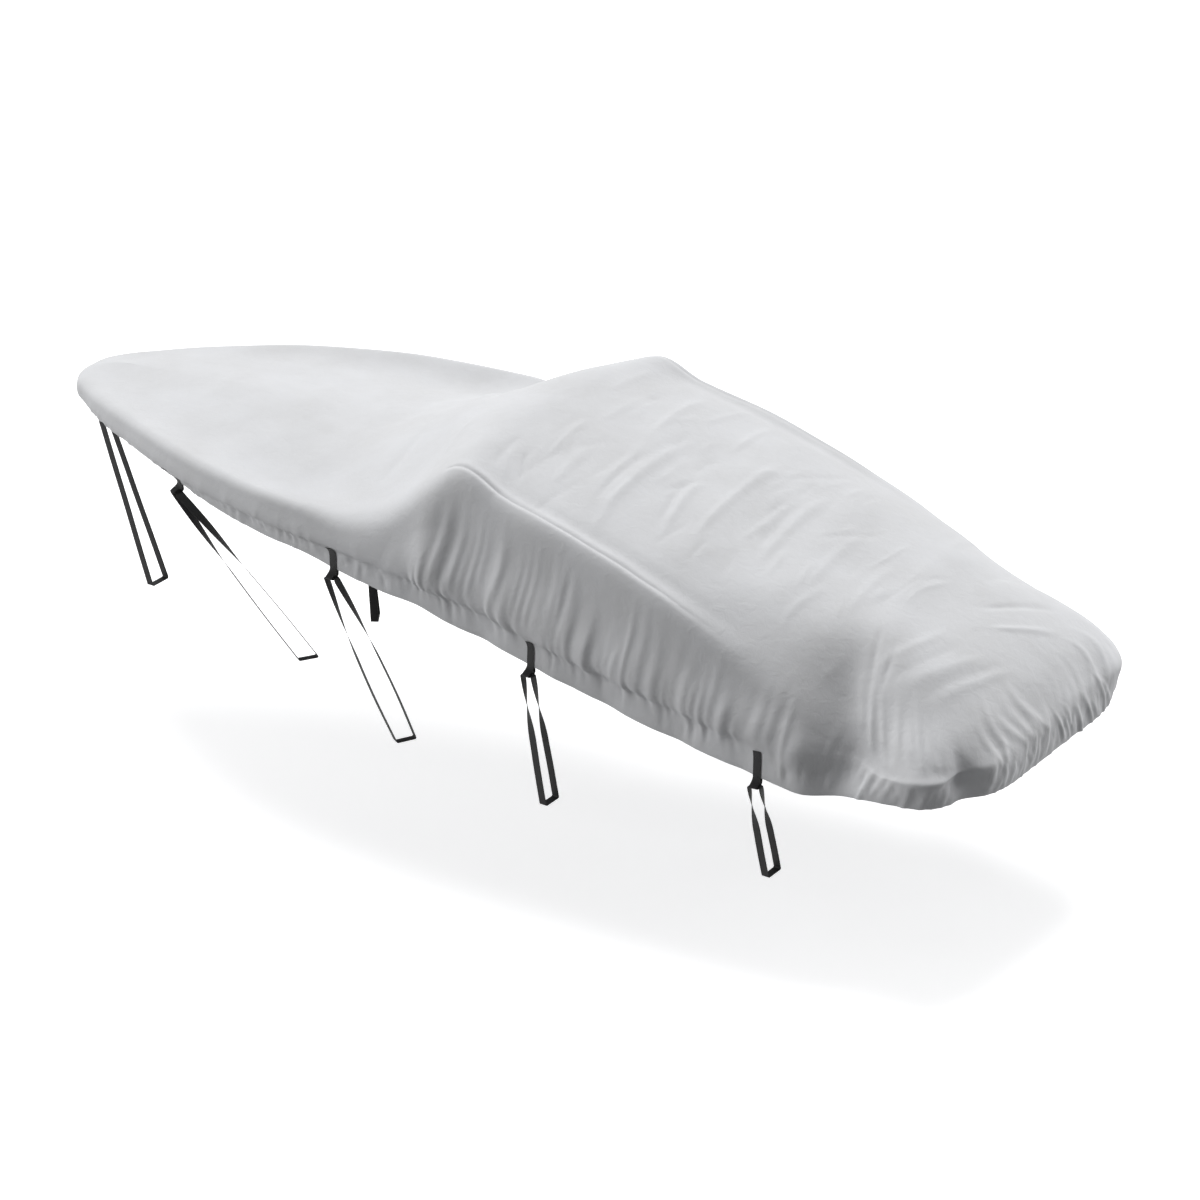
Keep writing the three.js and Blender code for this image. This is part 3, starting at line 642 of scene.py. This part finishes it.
# Folds that hang from the edge or rise from the hem; up is 0 at the hem and 1 at the edge.
def hangingFolds(s, up, side, seed):
    rng = np.random.default_rng(seed)
    shape = foldShape
    out = np.zeros_like(up)
    for family in ofSide(families, side):
        for at in placesOf(rng, family, shape["scatter"]):
            half, depth, low, high = (between(rng, family[key]) for key in ("half", "depth", "low", "high"))
            lean = family["lean"] * between(rng, shape["lean"])
            bow = between(rng, shape["bow"])
            t = (up - low) / (high - low)
            off = s[:, None] - at - lean * t - bow * np.sin(math.pi * np.clip(t, 0, 1))
            taper = ease((up - low) / shape["fadeLow"])
            taper *= ease((high - up) / (shape["fadeHigh"] * (high - low)))
            wide = half * (1 + shape["widen"] * np.clip(t, 0, 1))
            out += depth * hump(off / wide) * taper
    return out


def tuckGathers(s, up, seed):
    rng = np.random.default_rng(seed)
    out = np.zeros_like(up)
    for gather in gathers:
        for at in placesOf(rng, gather, gatherShape["scatter"]):
            half, depth, height, tall = (between(rng, gather[key]) for key in ("half", "depth", "at", "tall"))
            off = s[:, None] - at - between(rng, gatherShape["lean"]) * (up - height)
            out += depth * hump(off / half) * hump((up - height) / tall)
    return out


def dented(s, up, side):
    out = np.zeros_like(up)
    for dent in ofSide(dents, side):
        out += dent["out"] * aboutRow(s, dent)[:, None] * hump((up - dent["up"]) / dent["tall"])
    return out


def edgeCrease(s, over):
    row = rowAt(s)[:, None]
    wander = sum(far * np.sin(s / long + start) for far, long, start in edgeWander)[:, None]
    out = np.zeros_like(over)
    for line in edgeLines:
        start = ease((row - line["fromRow"]) / edgeStart)
        stop = ease((line["toRow"] - row) / line["fade"])
        out += line["height"] * hump((over - line["inboard"] - wander) / line["half"]) * start * stop
    return out


def topWrinkles(x, y, lines):
    shape = wrinkleShape
    out = np.zeros_like(x)
    for line in lines:
        along, off = acrossTop(x, y, line, line["bend"])
        ends = ease(along / shape["fade"]) * ease((1 - along) / shape["fade"])
        wide = line["half"] * (shape["narrow"] + shape["widen"] * np.clip(along, 0, 1))
        out += line["height"] * hump(off / wide) * ends
    return out


def looseOnes(w):
    rng = np.random.default_rng(w["seed"])
    lines = []
    for _ in range(w["count"]):
        x, y = between(rng, w["x"]), between(rng, w["y"])
        length = between(rng, w["length"])
        angle = rng.normal(*w["turn"])
        dx, dy = math.sin(angle) * length / 2, -math.cos(angle) * length / 2
        lines.append({"x1": x - dx, "y1": y - dy, "x2": x + dx, "y2": y + dy,
                      "bend": between(rng, w["bend"]), "half": between(rng, w["half"]),
                      "height": between(rng, w["height"]) * rng.choice([-1, 1])})
    return lines


def softSwell(points, w):
    rng = np.random.default_rng(w["seed"])
    out = np.zeros(points.shape[:2])
    for _ in range(w["waves"]):
        way = rng.normal(size=3)
        way /= np.linalg.norm(way)
        long = between(rng, w["long"])
        out += w["height"] * np.sin(points @ way * (2 * math.pi / long) + rng.uniform(0, 6.3))
    return out


def softCorner(lines, row, w):
    reachOut = int(3 * w["columns"])
    span = np.arange(-reachOut, reachOut + 1)
    weights = np.exp(-0.5 * (span / w["columns"]) ** 2)
    padded = np.pad(lines, ((reachOut, reachOut), (0, 0), (0, 0)), mode="edge")
    soft = sum(k * padded[i:i + len(lines)] for i, k in enumerate(weights / weights.sum()))
    share = ease(1 - np.abs(row - w["row"]) / (2 * w["half"]))
    return lines + (soft - lines) * share[:, None, None]


# 0 at a tab, 1 away from it, so that the tab lies flat on the cloth.
def clearOfTabs(s, z, zHem):
    keep = np.ones_like(z)
    for tie in ties:
        near = 1 - ease((np.abs(s - reachAt(tie["row"])) - tabClear["beside"]) / tabClear["fadeBeside"])
        low = 1 - ease((z - zHem[:, None] - tabClear["above"]) / tabClear["fadeAbove"])
        keep *= 1 - near[:, None] * low
    return keep


def clothHalf(side, seed):
    s = lineStops()
    here, lines = baseHalf(s, side)
    edge = slice(cloth["sideRows"], cloth["sideRows"] + 1)
    lines = softCorner(lines, rowAt(s), cornerSoft)
    girth = girthOf(lines)
    over = girth - girth[:, edge]
    zHem, zEdge = here["zHem"], here["z"]
    up = (lines[:, :, 2] - zHem[:, None]) / (zEdge - zHem)[:, None]
    up = np.where(over > 0, up[:, edge] + over / cloth["topHeight"], up)
    n = normalsOf(lines, side)
    x, y = lines[:, :, 0], lines[:, :, 1]
    onTop = ease((over + cloth["topFade"][0]) / cloth["topFade"][1])
    out = hangingFolds(s, up, side, seed) + tuckGathers(s, up, seed + 1) + dented(s, up, side)
    out *= ease((girth[:, -1:] - girth) / cloth["calmMiddle"])
    out += cloth["wrinkleGain"] * topWrinkles(x, y, wrinkles) * onTop
    out += topWrinkles(x, y, looseOnes(looseWrinkles)) * onTop
    out += creaseShare[side] * edgeCrease(s, over)
    out += softSwell(lines, swell)
    ends = ease(s / cloth["endFade"]) * ease((reach[-1] - s) / cloth["endFade"])
    out *= (cloth["endKeep"] + (1 - cloth["endKeep"]) * ends)[:, None]
    out *= clearOfTabs(s, lines[:, :, 2], zHem)
    return {"s": s, "lines": lines + n * out[:, :, None], "normals": n, "girth": girth}


# Both halves meet at the bow, the stern and along the centre line.
def joined(port, starboard):
    for i in (0, -1):
        for key in ("lines", "normals"):
            starboard[key][i] = port[key][i]
            port[key][i, :, 1] = starboard[key][i, :, 1] = 0
    starboard["lines"][:, -1] = port["lines"][:, -1]
    for half in (port, starboard):
        half["lines"][:, -1, 1] = 0
    return {"port": port, "starboard": starboard}


# The aft top has no crease of its own along the centre line.
def calmAftTop(halves, fromRow, fade, wide, inboard):
    aftTop = slice(cloth["sideRows"] + inboard, None)
    middle = np.concatenate([halves["port"]["lines"][-1, aftTop], halves["port"]["lines"][:, -1]])
    middle = middle[np.argsort(middle[:, 0])]
    for half in halves.values():
        top = half["lines"][:, aftTop]
        level = np.interp(top[:, :, 0], middle[:, 0], middle[:, 2])
        share = ease((rowAt(half["s"]) - fromRow) / fade)[:, None] * (1 - ease(np.abs(top[:, :, 1]) / wide))
        top[:, :, 2] += (level - top[:, :, 2]) * share


halves = joined(clothHalf("port", 21), clothHalf("starboard", 57))
calmAftTop(halves, fromRow=19.0, fade=1.2, wide=170, inboard=8)
print("cloth surface made")


def inMetres(points):
    return ((np.asarray(points, float) - boatOrigin) / 1000.0).tolist()


def newObject(name, points, faces, uvs):
    obj = meshObject(name, inMetres(points), [], faces)
    layer = obj.data.uv_layers.new(name="cloth")
    corners = np.array([v for face in faces for v in face])
    layer.data.foreach_set("uv", np.asarray(uvs, "f")[corners].ravel())
    obj.data.polygons.foreach_set("use_smooth", [True] * len(faces))
    obj.data.update()
    return obj


# The turned hem: under the edge and a little way up inside.
def withHem(half):
    lines, n = half["lines"], half["normals"]
    hem = lines[:, 0]
    climb = lines[:, 1] - hem
    climb /= np.linalg.norm(climb, axis=1)[:, None]
    inner = -n[:, 0] * cloth["hemGap"]
    rows = [hem + inner * share + climb * height for share, height, _ in cloth["hemRows"]]
    return np.concatenate([np.stack(rows, axis=1), lines], axis=1)


# One mesh of both halves: the starboard one shares the port one's points where they meet.
def buildCover():
    points, uvs, faces = [], [], []
    shared, total = None, 0
    hemPlaces = [place for _, _, place in cloth["hemRows"]]
    for side, half in halves.items():
        grid = withHem(half)
        count, rows = grid.shape[:2]
        girth = np.concatenate([np.tile(hemPlaces, (count, 1)), half["girth"]], axis=1)
        keep = np.ones((count, rows), bool)
        index = np.full((count, rows), -1)
        if side == "starboard":
            keep[[0, -1]] = False
            keep[:, -1] = False
            index[~keep] = shared[~keep]
        index[keep] = np.arange(total, total + keep.sum())
        shared, total = index, total + keep.sum()
        points.append(grid[keep])
        u = np.broadcast_to(flips[side] * half["s"][:, None], (count, rows))
        uvs.append(np.stack([u[keep], girth[keep]], axis=-1) / 1000)
        quads = np.stack([index[:-1, :-1], index[1:, :-1], index[1:, 1:], index[:-1, 1:]], axis=-1)
        quads = quads.reshape(-1, 4)
        faces += (quads[:, ::-1] if side == "port" else quads).tolist()
    faces = [tuple(dict.fromkeys(face)) for face in faces]
    faces = [face for face in faces if len(face) > 2]
    return newObject("boatCoverCloth", np.concatenate(points), faces, np.concatenate(uvs))


cover = buildCover()
print("cover", len(cover.data.vertices), "points", len(cover.data.polygons), "faces")

webbing = {
    "wide": 48.0,
    "thick": 1.9,
    "corner": [(-0.5, -0.2), (-0.49, -0.42), (-0.465, -0.5)],  # shares of wide and thick
}
tabSize = {"onCloth": 165.0, "belowHem": 12.0, "out": 57.0, "drop": 42.0, "inside": 30.0,
           "clear": 1.6, "step": 7.0, "under": 5.5, "profiles": 7, "rows": 40, "tall": 400.0, "soften": 5}
strapSize = {"bend": 9.0, "lift": 0.6, "middle": 25.0, "overhang": 3.5, "turnedBy": 0.5,
             "bendSteps": 8, "legSteps": 46, "ripple": 1.2}
upward = np.array([0.0, 0.0, 1.0])


def unit(v):
    return v / np.linalg.norm(v)


# The cloth's own line at s as points from the hem upward.
def clothLine(side, s):
    half = halves[side]
    flip = 1
    if s < 0:
        half, flip, s = halves["port"], -1, -s
    i = min(len(half["s"]) - 2, int(np.searchsorted(half["s"], s, side="right")) - 1)
    t = (s - half["s"][i]) / (half["s"][i + 1] - half["s"][i])
    line = half["lines"][i] * (1 - t) + half["lines"][i + 1] * t
    return line * np.array([1, flip, 1])


def seatOf(row, side):
    here = outlineAt(reachAt(row))
    flip = flips[side]
    outward = np.array([here["nx"][0], here["ny"][0] * flip, 0.0])
    along = np.array([outward[1], -outward[0], 0.0]) * flip
    if row == 0:
        outward, along = np.array([1.0, 0.0, 0.0]), np.array([0.0, 1.0, 0.0])
    return {"hem": clothLine(side, reachAt(row))[0], "outward": outward, "along": along,
            "s": reachAt(row), "side": side}


# The cloth above a seat as rows of out and up, from the hem; pick takes the proudest line or the
# one furthest in.
def clothRise(seat, pick):
    spread = webbing["wide"] / 2 + 2
    z = np.arange(0.0, tabSize["tall"], tabSize["step"])
    profiles = []
    for d in np.linspace(-spread, spread, tabSize["profiles"]):
        p = clothLine(seat["side"], seat["s"] + d)[:tabSize["rows"]] - seat["hem"]
        profiles.append(np.interp(z, p[:, 2], p @ seat["outward"]))
    out = pick(profiles, axis=0)
    count = tabSize["soften"]
    soft = np.convolve(np.pad(out, count // 2, mode="edge"), np.ones(count) / count, mode="valid")
    out = pick([out, soft], axis=0)
    line = np.stack([out, z], axis=1)
    return line[summed(np.hypot(*np.diff(line, axis=0).T)) <= tabSize["onCloth"]]


def shifted(line, far):
    step = np.gradient(line, axis=0)
    step /= np.linalg.norm(step, axis=1)[:, None]
    return line + far * np.stack([step[:, 1], -step[:, 0]], axis=1)


def outsideOf(seat):
    return shifted(clothRise(seat, np.max), tabSize["clear"] + webbing["thick"] / 2)


def smoothPath(points, step):
    points = np.asarray(points, float)
    knots = runOf(points)
    count = max(2, int(round(knots[-1] / step)))
    return through(knots, points, np.linspace(0, knots[-1], count + 1))


# A tab: down the outside of the cloth, out round its loop and up inside the hem.
def tabFrames(seat):
    s = tabSize
    clear = s["clear"] + webbing["thick"] / 2
    outside = outsideOf(seat)
    inside = shifted(clothRise(seat, np.min), -(cloth["thick"] + clear + 1.0))
    tucked = [p for p in inside if np.hypot(*(p - inside[0])) < s["inside"]]
    n0, z0 = outside[0]
    loop = [
        [n0 + 1, z0 - 5], [n0 + 6, z0 - s["belowHem"]], [s["out"] - 4, z0 - s["drop"] + 1],
        [s["out"], z0 - s["drop"] - 2.5], [s["out"] - 3, z0 - s["drop"] - s["under"]],
        [-1, z0 - s["drop"] - s["under"]], [-7, z0 - s["drop"] - 1],
        [inside[0][0] - 3, z0 - s["belowHem"]], [inside[0][0], inside[0][1] - 4],
    ]
    path = smoothPath(list(outside[::-1]) + loop + tucked, 2.5)
    return [(seat["hem"] + seat["outward"] * n + upward * z, seat["along"],
             unit(seat["outward"] * -dz + upward * dn))
            for (n, z), (dn, dz) in zip(path, np.gradient(path, axis=0))]


# A strap: through the tab's loop, down both legs and round the two feet, in one ring.
def strapFrames(seat, feet, out, slack):
    s = strapSize
    z0 = outsideOf(seat)[0][1]
    middle = (seat["hem"] + seat["outward"] * s["middle"]
              + upward * (z0 - tabSize["drop"] - tabSize["under"] + webbing["thick"] + s["lift"]))
    half = webbing["wide"] / 2 + s["overhang"]

    def bend(way, angle):
        to = seat["along"] * way
        at = middle + to * (half + s["bend"] * math.sin(angle)) + upward * s["bend"] * (math.cos(angle) - 1)
        return at, to * math.sin(angle) + upward * math.cos(angle)

    def leg(way, end, away):
        top, face = bend(way, math.pi / 2)
        rows = []
        for t in np.arange(1, s["legSteps"] + 1) / s["legSteps"]:
            turn = (math.pi / 2) * ease(t / s["turnedBy"])
            wave = math.sin(math.pi * t)
            bow = slack * wave + s["ripple"] * math.sin(3 * math.pi * t) * wave
            rows.append((top * (1 - t) + end * t + away * bow,
                         face * math.cos(turn) + away * math.sin(turn)))
        return rows

    def wrap(end, away):
        return [(end + away * s["bend"] * (math.cos(a) - 1) - upward * s["bend"] * math.sin(a),
                 away * math.cos(a) - upward * math.sin(a))
                for a in np.radians(np.linspace(10, 90, s["bendSteps"]))]

    angles = np.linspace(0, math.pi / 2, s["bendSteps"] + 1)
    rows = [(middle + seat["along"] * half * k, upward) for k in (-0.66, -0.33, 0.0, 0.33, 0.66)]
    path = rows[2:] + [bend(1, a) for a in angles] + leg(1, feet["first"], out)
    path += wrap(feet["first"], out)
    path += wrap(feet["second"], -out)[::-1] + leg(-1, feet["second"], -out)[::-1]
    path += [bend(-1, a) for a in angles[::-1]] + rows[:2]
    at = np.array([p[0] for p in path])
    along = np.roll(at, -1, axis=0) - np.roll(at, 1, axis=0)
    frames = []
    for (place, face), way in zip(path, along):
        way = unit(way)
        square = unit(face - way * np.dot(face, way))
        frames.append((place, np.cross(way, square), square))
    return frames


# A band of webbing along its frames; a closed one joins its last ring to its first.
def bandObject(name, frames, closed):
    half = webbing["corner"] + [(-w, t) for w, t in webbing["corner"][::-1]]
    section = half + [(-w, -t) for w, t in half]
    size, count = len(section), len(frames)
    points, uvs, faces = [], [], []
    for (place, across, face), far in zip(frames, runOf([f[0] for f in frames])):
        for w, t in section:
            points.append(place + across * w * webbing["wide"] + face * t * webbing["thick"])
            uvs.append((w * webbing["wide"] / 1000, far / 1000))
    for k in range(count if closed else count - 1):
        a, b = k * size, (k + 1) % count * size
        faces += [(a + c, a + (c + 1) % size, b + (c + 1) % size, b + c) for c in range(size)]
    if not closed:
        faces.append(tuple(range(size))[::-1])
        faces.append(tuple(range((count - 1) * size, count * size)))
    return newObject(name, points, faces, uvs)


def buildTies():
    made = {}
    for key, side, tie in eachTie():
        flip = flips[side]
        seat = seatOf(tie["row"], side)
        turn = math.radians(tie["turn"])
        out = np.array([math.sin(turn), math.cos(turn) * flip, 0.0])
        low = np.array([tie["x"], tie["y"] * flip, tie["zLow"] + strapSize["bend"]])
        feet = {"first": low + out * tie["half"], "second": low - out * tie["half"]}
        label = key.title().replace("_", "")
        made["tab_" + key] = bandObject("tab" + label, tabFrames(seat), False)
        made["strap_" + key] = bandObject("strap" + label, strapFrames(seat, feet, out, tie["slack"]), True)
    return made


tiePieces = buildTies()
print("ties made", len(tiePieces))

# Weave in threads a metre, depths of the relief in metres; a higher patch gives smaller patches.
threadSizes = {
    "cloth": {"Across": 820.0, "Along": 760.0, "Ribs": 0.0},
    "webbing": {"Across": 420.0, "Along": 620.0, "Ribs": 0.65},
}
threadLook = {"weaveDepth": 0.00005, "crumpleDepth": 0.00005, "soiling": 0.5, "patch": 30.0}
paints = {
    "cloth": {"clean": (0.620, 0.626, 0.640, 1.0), "soiled": (0.560, 0.562, 0.568, 1.0),
              "rough": (0.66, 0.80), "shine": 0.28, "weaveDepth": 0.00012, "crumpleDepth": 0.004,
              "soiling": 0.75, "patch": 1.9},
    "webbing": {"clean": (0.010, 0.010, 0.011, 1.0), "soiled": (0.030, 0.029, 0.028, 1.0),
                "rough": (0.62, 0.80), "shine": 0.35, "weaveDepth": 0.00035, "crumpleDepth": 0.0003,
                "soiling": 0.6, "patch": 14.0},
    "greyThread": {"clean": (0.50, 0.505, 0.52, 1.0), "soiled": (0.43, 0.43, 0.435, 1.0),
                   "rough": (0.5, 0.7), "shine": 0.35, **threadLook},
    "blackThread": {"clean": (0.022, 0.022, 0.024, 1.0), "soiled": (0.05, 0.05, 0.05, 1.0),
                    "rough": (0.4, 0.6), "shine": 0.4, **threadLook},
}
paintedGapShade = {"share": 0.22, "colour": (0.86, 0.86, 0.87, 1.0)}  # painted shade between the threads: the colour is darkened in the gaps as shade would darken it
relief = {"weave": 0.6, "crumple": 0.7}


def newGroup(name, inputs, outputs):
    group = bpy.data.node_groups.new(name, "ShaderNodeTree")
    group.interface.new_socket(name="Place", in_out="INPUT", socket_type="NodeSocketVector")
    for label, value in inputs.items():
        socket = group.interface.new_socket(name=label, in_out="INPUT", socket_type="NodeSocketFloat")
        socket.default_value = value
    for label in outputs:
        group.interface.new_socket(name=label, in_out="OUTPUT", socket_type="NodeSocketFloat")
    return group, newNode(group, "NodeGroupInput")


# Over-and-under threads from a place in metres; Ribs turns them into cords along the length.
def weaveGroup():
    group, given = newGroup("wovenThreads", {"Across": 800.0, "Along": 800.0, "Ribs": 0.0}, ["Height", "Gap"])
    place = newNode(group, "ShaderNodeSeparateXYZ", {0: given["Place"]})

    def wave(axis, threads):
        turns = mathNode(group, "MULTIPLY", place[axis], given[threads])
        return mathNode(group, "SINE", mathNode(group, "MULTIPLY", turns, math.pi))

    across, along = wave("X", "Across"), wave("Y", "Along")
    crossed = mathNode(group, "MULTIPLY_ADD", mathNode(group, "MULTIPLY", across, along), 0.5, 0.5)
    woven = mathNode(group, "MULTIPLY", crossed, mathNode(group, "SUBTRACT", 1.0, given["Ribs"]))
    ribbed = mathNode(group, "MULTIPLY", mathNode(group, "ABSOLUTE", across), given["Ribs"])
    height = mathNode(group, "ADD", woven, ribbed)
    newNode(group, "NodeGroupOutput", {"Height": height, "Gap": mathNode(group, "SUBTRACT", 1.0, height)})
    return group


# Dust and handling in soft patches, with fine speckle inside them.
def soilGroup():
    group, given = newGroup("softSoiling", {"Patch": 2.0, "Amount": 0.5}, ["Mask", "Crumple"])
    broad = newNode(group, "ShaderNodeTexNoise", {
        "Vector": given["Place"], "Scale": given["Patch"], "Detail": 5.0, "Roughness": 0.6})
    fine = newNode(group, "ShaderNodeTexNoise", {
        "Vector": given["Place"], "Scale": mathNode(group, "MULTIPLY", given["Patch"], 9.0),
        "Detail": 3.0, "Distortion": 0.6})["Fac"]
    spread = newNode(group, "ShaderNodeMapRange", {
        "Value": broad["Fac"], "From Min": 0.36, "From Max": 0.68})
    patches = mathNode(group, "MULTIPLY", spread["Result"],
                       mathNode(group, "MULTIPLY_ADD", fine, 0.8, 0.5))
    newNode(group, "NodeGroupOutput", {
        "Mask": mathNode(group, "MULTIPLY", patches, given["Amount"]), "Crumple": fine})
    return group


weave, soiling = weaveGroup(), soilGroup()


def paint(name, look, threads, followsUv):
    made = bpy.data.materials.new(name)
    made.use_nodes = True
    tree = made.node_tree
    place = newNode(tree, "ShaderNodeTexCoord")["Object"]
    onPiece = newNode(tree, "ShaderNodeUVMap", uv_map="cloth")["UV"] if followsUv else place
    woven = newNode(tree, "ShaderNodeGroup", {"Place": onPiece, **threads}, node_tree=weave)
    soil = newNode(tree, "ShaderNodeGroup", {
        "Place": place, "Patch": look["patch"], "Amount": look["soiling"]}, node_tree=soiling)
    colour = newNode(tree, "ShaderNodeMix", {
        "Factor": soil["Mask"], "A": look["clean"], "B": look["soiled"]}, data_type="RGBA")
    # Painted shade: the colour is darkened in the gaps between the threads.
    shade = newNode(tree, "ShaderNodeMix", {
        "Factor": mathNode(tree, "MULTIPLY", woven["Gap"], paintedGapShade["share"]),
        "A": colour["Result"], "B": paintedGapShade["colour"]}, data_type="RGBA", blend_type="MULTIPLY")
    rough = newNode(tree, "ShaderNodeMapRange", {
        "Value": soil["Mask"], "To Min": look["rough"][0], "To Max": look["rough"][1]})
    crumpled = newNode(tree, "ShaderNodeBump", {
        "Height": soil["Crumple"], "Strength": relief["crumple"], "Distance": look["crumpleDepth"]})
    bumped = newNode(tree, "ShaderNodeBump", {
        "Height": woven["Height"], "Strength": relief["weave"], "Distance": look["weaveDepth"],
        "Normal": crumpled["Normal"]})
    fill(tree, tree.nodes["Principled BSDF"], {
        "Base Color": shade["Result"], "Roughness": rough["Result"],
        "Specular IOR Level": look["shine"], "Normal": bumped["Normal"]})
    return made


clothPaint = paint("coatedCloth", paints["cloth"], threadSizes["cloth"], True)
bandPaint = paint("blackWebbing", paints["webbing"], threadSizes["webbing"], True)
hemThread = paint("greyThread", paints["greyThread"], threadSizes["webbing"], False)
tabThread = paint("blackThread", paints["blackThread"], threadSizes["webbing"], False)
cover.data.materials.append(clothPaint)
for piece in tiePieces.values():
    piece.data.materials.append(bandPaint)
print("materials made")

# Stitches: where the rows lie, in millimetres, and each stitch's sizes, in metres.
hemSewing = {
    "above": 19.0, "proud": 0.25, "rows": 8,
    "Pitch": 0.0052, "Length": 0.0021, "Width": 0.00055, "Height": 0.0004,
}
tabSewing = {
    "fromTop": (8.0, 58.0), "across": 18.0, "proud": 0.2, "steps": 13,
    "Pitch": 0.0042, "Length": 0.0017, "Width": 0.0006, "Height": 0.0004,
}
stitchSizes = ("Pitch", "Length", "Width", "Height")


# Small rounds set along every edge of the given mesh, turned along it.
def stitchTree():
    tree = bpy.data.node_groups.new("stitchRow", "GeometryNodeTree")
    ids = {}
    kinds = {"Geometry": "Geometry", **dict.fromkeys(stitchSizes, "Float"), "Thread": "Material"}
    for label, kind in kinds.items():
        socket = tree.interface.new_socket(name=label, in_out="INPUT", socket_type="NodeSocket" + kind)
        ids[label] = socket.identifier
    tree.interface.new_socket(name="Geometry", in_out="OUTPUT", socket_type="NodeSocketGeometry")
    given = newNode(tree, "NodeGroupInput")
    curve = newNode(tree, "GeometryNodeMeshToCurve", {"Mesh": given["Geometry"]})
    dots = newNode(tree, "GeometryNodeCurveToPoints", {
        "Curve": curve["Curve"], "Length": given["Pitch"]}, mode="LENGTH")
    ball = newNode(tree, "GeometryNodeMeshIcoSphere", {"Radius": 1.0, "Subdivisions": 1})
    turned = newNode(tree, "FunctionNodeAlignRotationToVector", {"Vector": dots["Tangent"]}, axis="X")
    size = newNode(tree, "ShaderNodeCombineXYZ", {
        "X": given["Length"], "Y": given["Width"], "Z": given["Height"]})
    placed = newNode(tree, "GeometryNodeInstanceOnPoints", {
        "Points": dots["Points"], "Instance": ball["Mesh"],
        "Rotation": turned["Rotation"], "Scale": size["Vector"]})
    real = newNode(tree, "GeometryNodeRealizeInstances", {"Geometry": placed["Instances"]})
    painted = newNode(tree, "GeometryNodeSetMaterial", {
        "Geometry": real["Geometry"], "Material": given["Thread"]})
    newNode(tree, "NodeGroupOutput", {"Geometry": painted["Geometry"]})
    return tree, ids


stitchNodes, stitchIds = stitchTree()


def sewn(name, points, edges, sizes, thread):
    obj = meshObject(name, inMetres(points), edges, [])
    modifier = obj.modifiers.new("stitches", "NODES")
    modifier.node_group = stitchNodes
    for label in stitchSizes:
        modifier[stitchIds[label]] = sizes[label]
    modifier[stitchIds["Thread"]] = thread
    bpy.context.view_layer.update()
    made = bpy.data.meshes.new_from_object(obj.evaluated_get(bpy.context.evaluated_depsgraph_get()))
    obj.modifiers.clear()
    obj.data = made
    made.polygons.foreach_set("use_smooth", [True] * len(made.polygons))
    return obj


def hemStitches(w):
    rows = []
    for half in halves.values():
        low = half["lines"][:, :w["rows"]]
        at = np.array([pointAt(w["above"], run, line) for run, line in zip(girthOf(low), low)])
        rows.append(at + half["normals"][:, 1] * w["proud"])
    points = np.concatenate([rows[0], rows[1][-2:0:-1]])
    edges = [(i, (i + 1) % len(points)) for i in range(len(points))]
    return sewn("hemStitches", points, edges, w, hemThread)


# A box of stitches with a cross in it on each tab.
def tabStitches(w):
    points, edges = [], []
    (low, high), wide = w["fromTop"], w["across"]
    box = [(low, -wide), (high, -wide), (high, wide), (low, wide), (low, -wide)]
    lines = list(zip(box, box[1:])) + [(box[0], box[2]), (box[1], box[3])]
    for _, side, tie in eachTie():
        frames = tabFrames(seatOf(tie["row"], side))
        at, across, face = (np.array([f[k] for f in frames]) for k in range(3))
        run = runOf(at)

        def spot(far, over):
            lifted = pointAt(far, run, face) * (webbing["thick"] / 2 + w["proud"])
            return pointAt(far, run, at) + across[0] * over + lifted

        for (f0, o0), (f1, o1) in lines:
            first = len(points)
            points += [spot(f0 + (f1 - f0) * t, o0 + (o1 - o0) * t) for t in np.linspace(0, 1, w["steps"])]
            edges += [(k, k + 1) for k in range(first, len(points) - 1)]
    return sewn("tabStitches", points, edges, w, tabThread)


sewing = {"cloth": hemStitches(hemSewing), "webbing": tabStitches(tabSewing)}
print("stitches made", [len(piece.data.polygons) for piece in sewing.values()])

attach(cover, "root")
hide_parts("cover")
for name, piece in tiePieces.items():
    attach(piece, "root")
    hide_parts(name)
for kind, piece in sewing.items():
    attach(piece, "root")
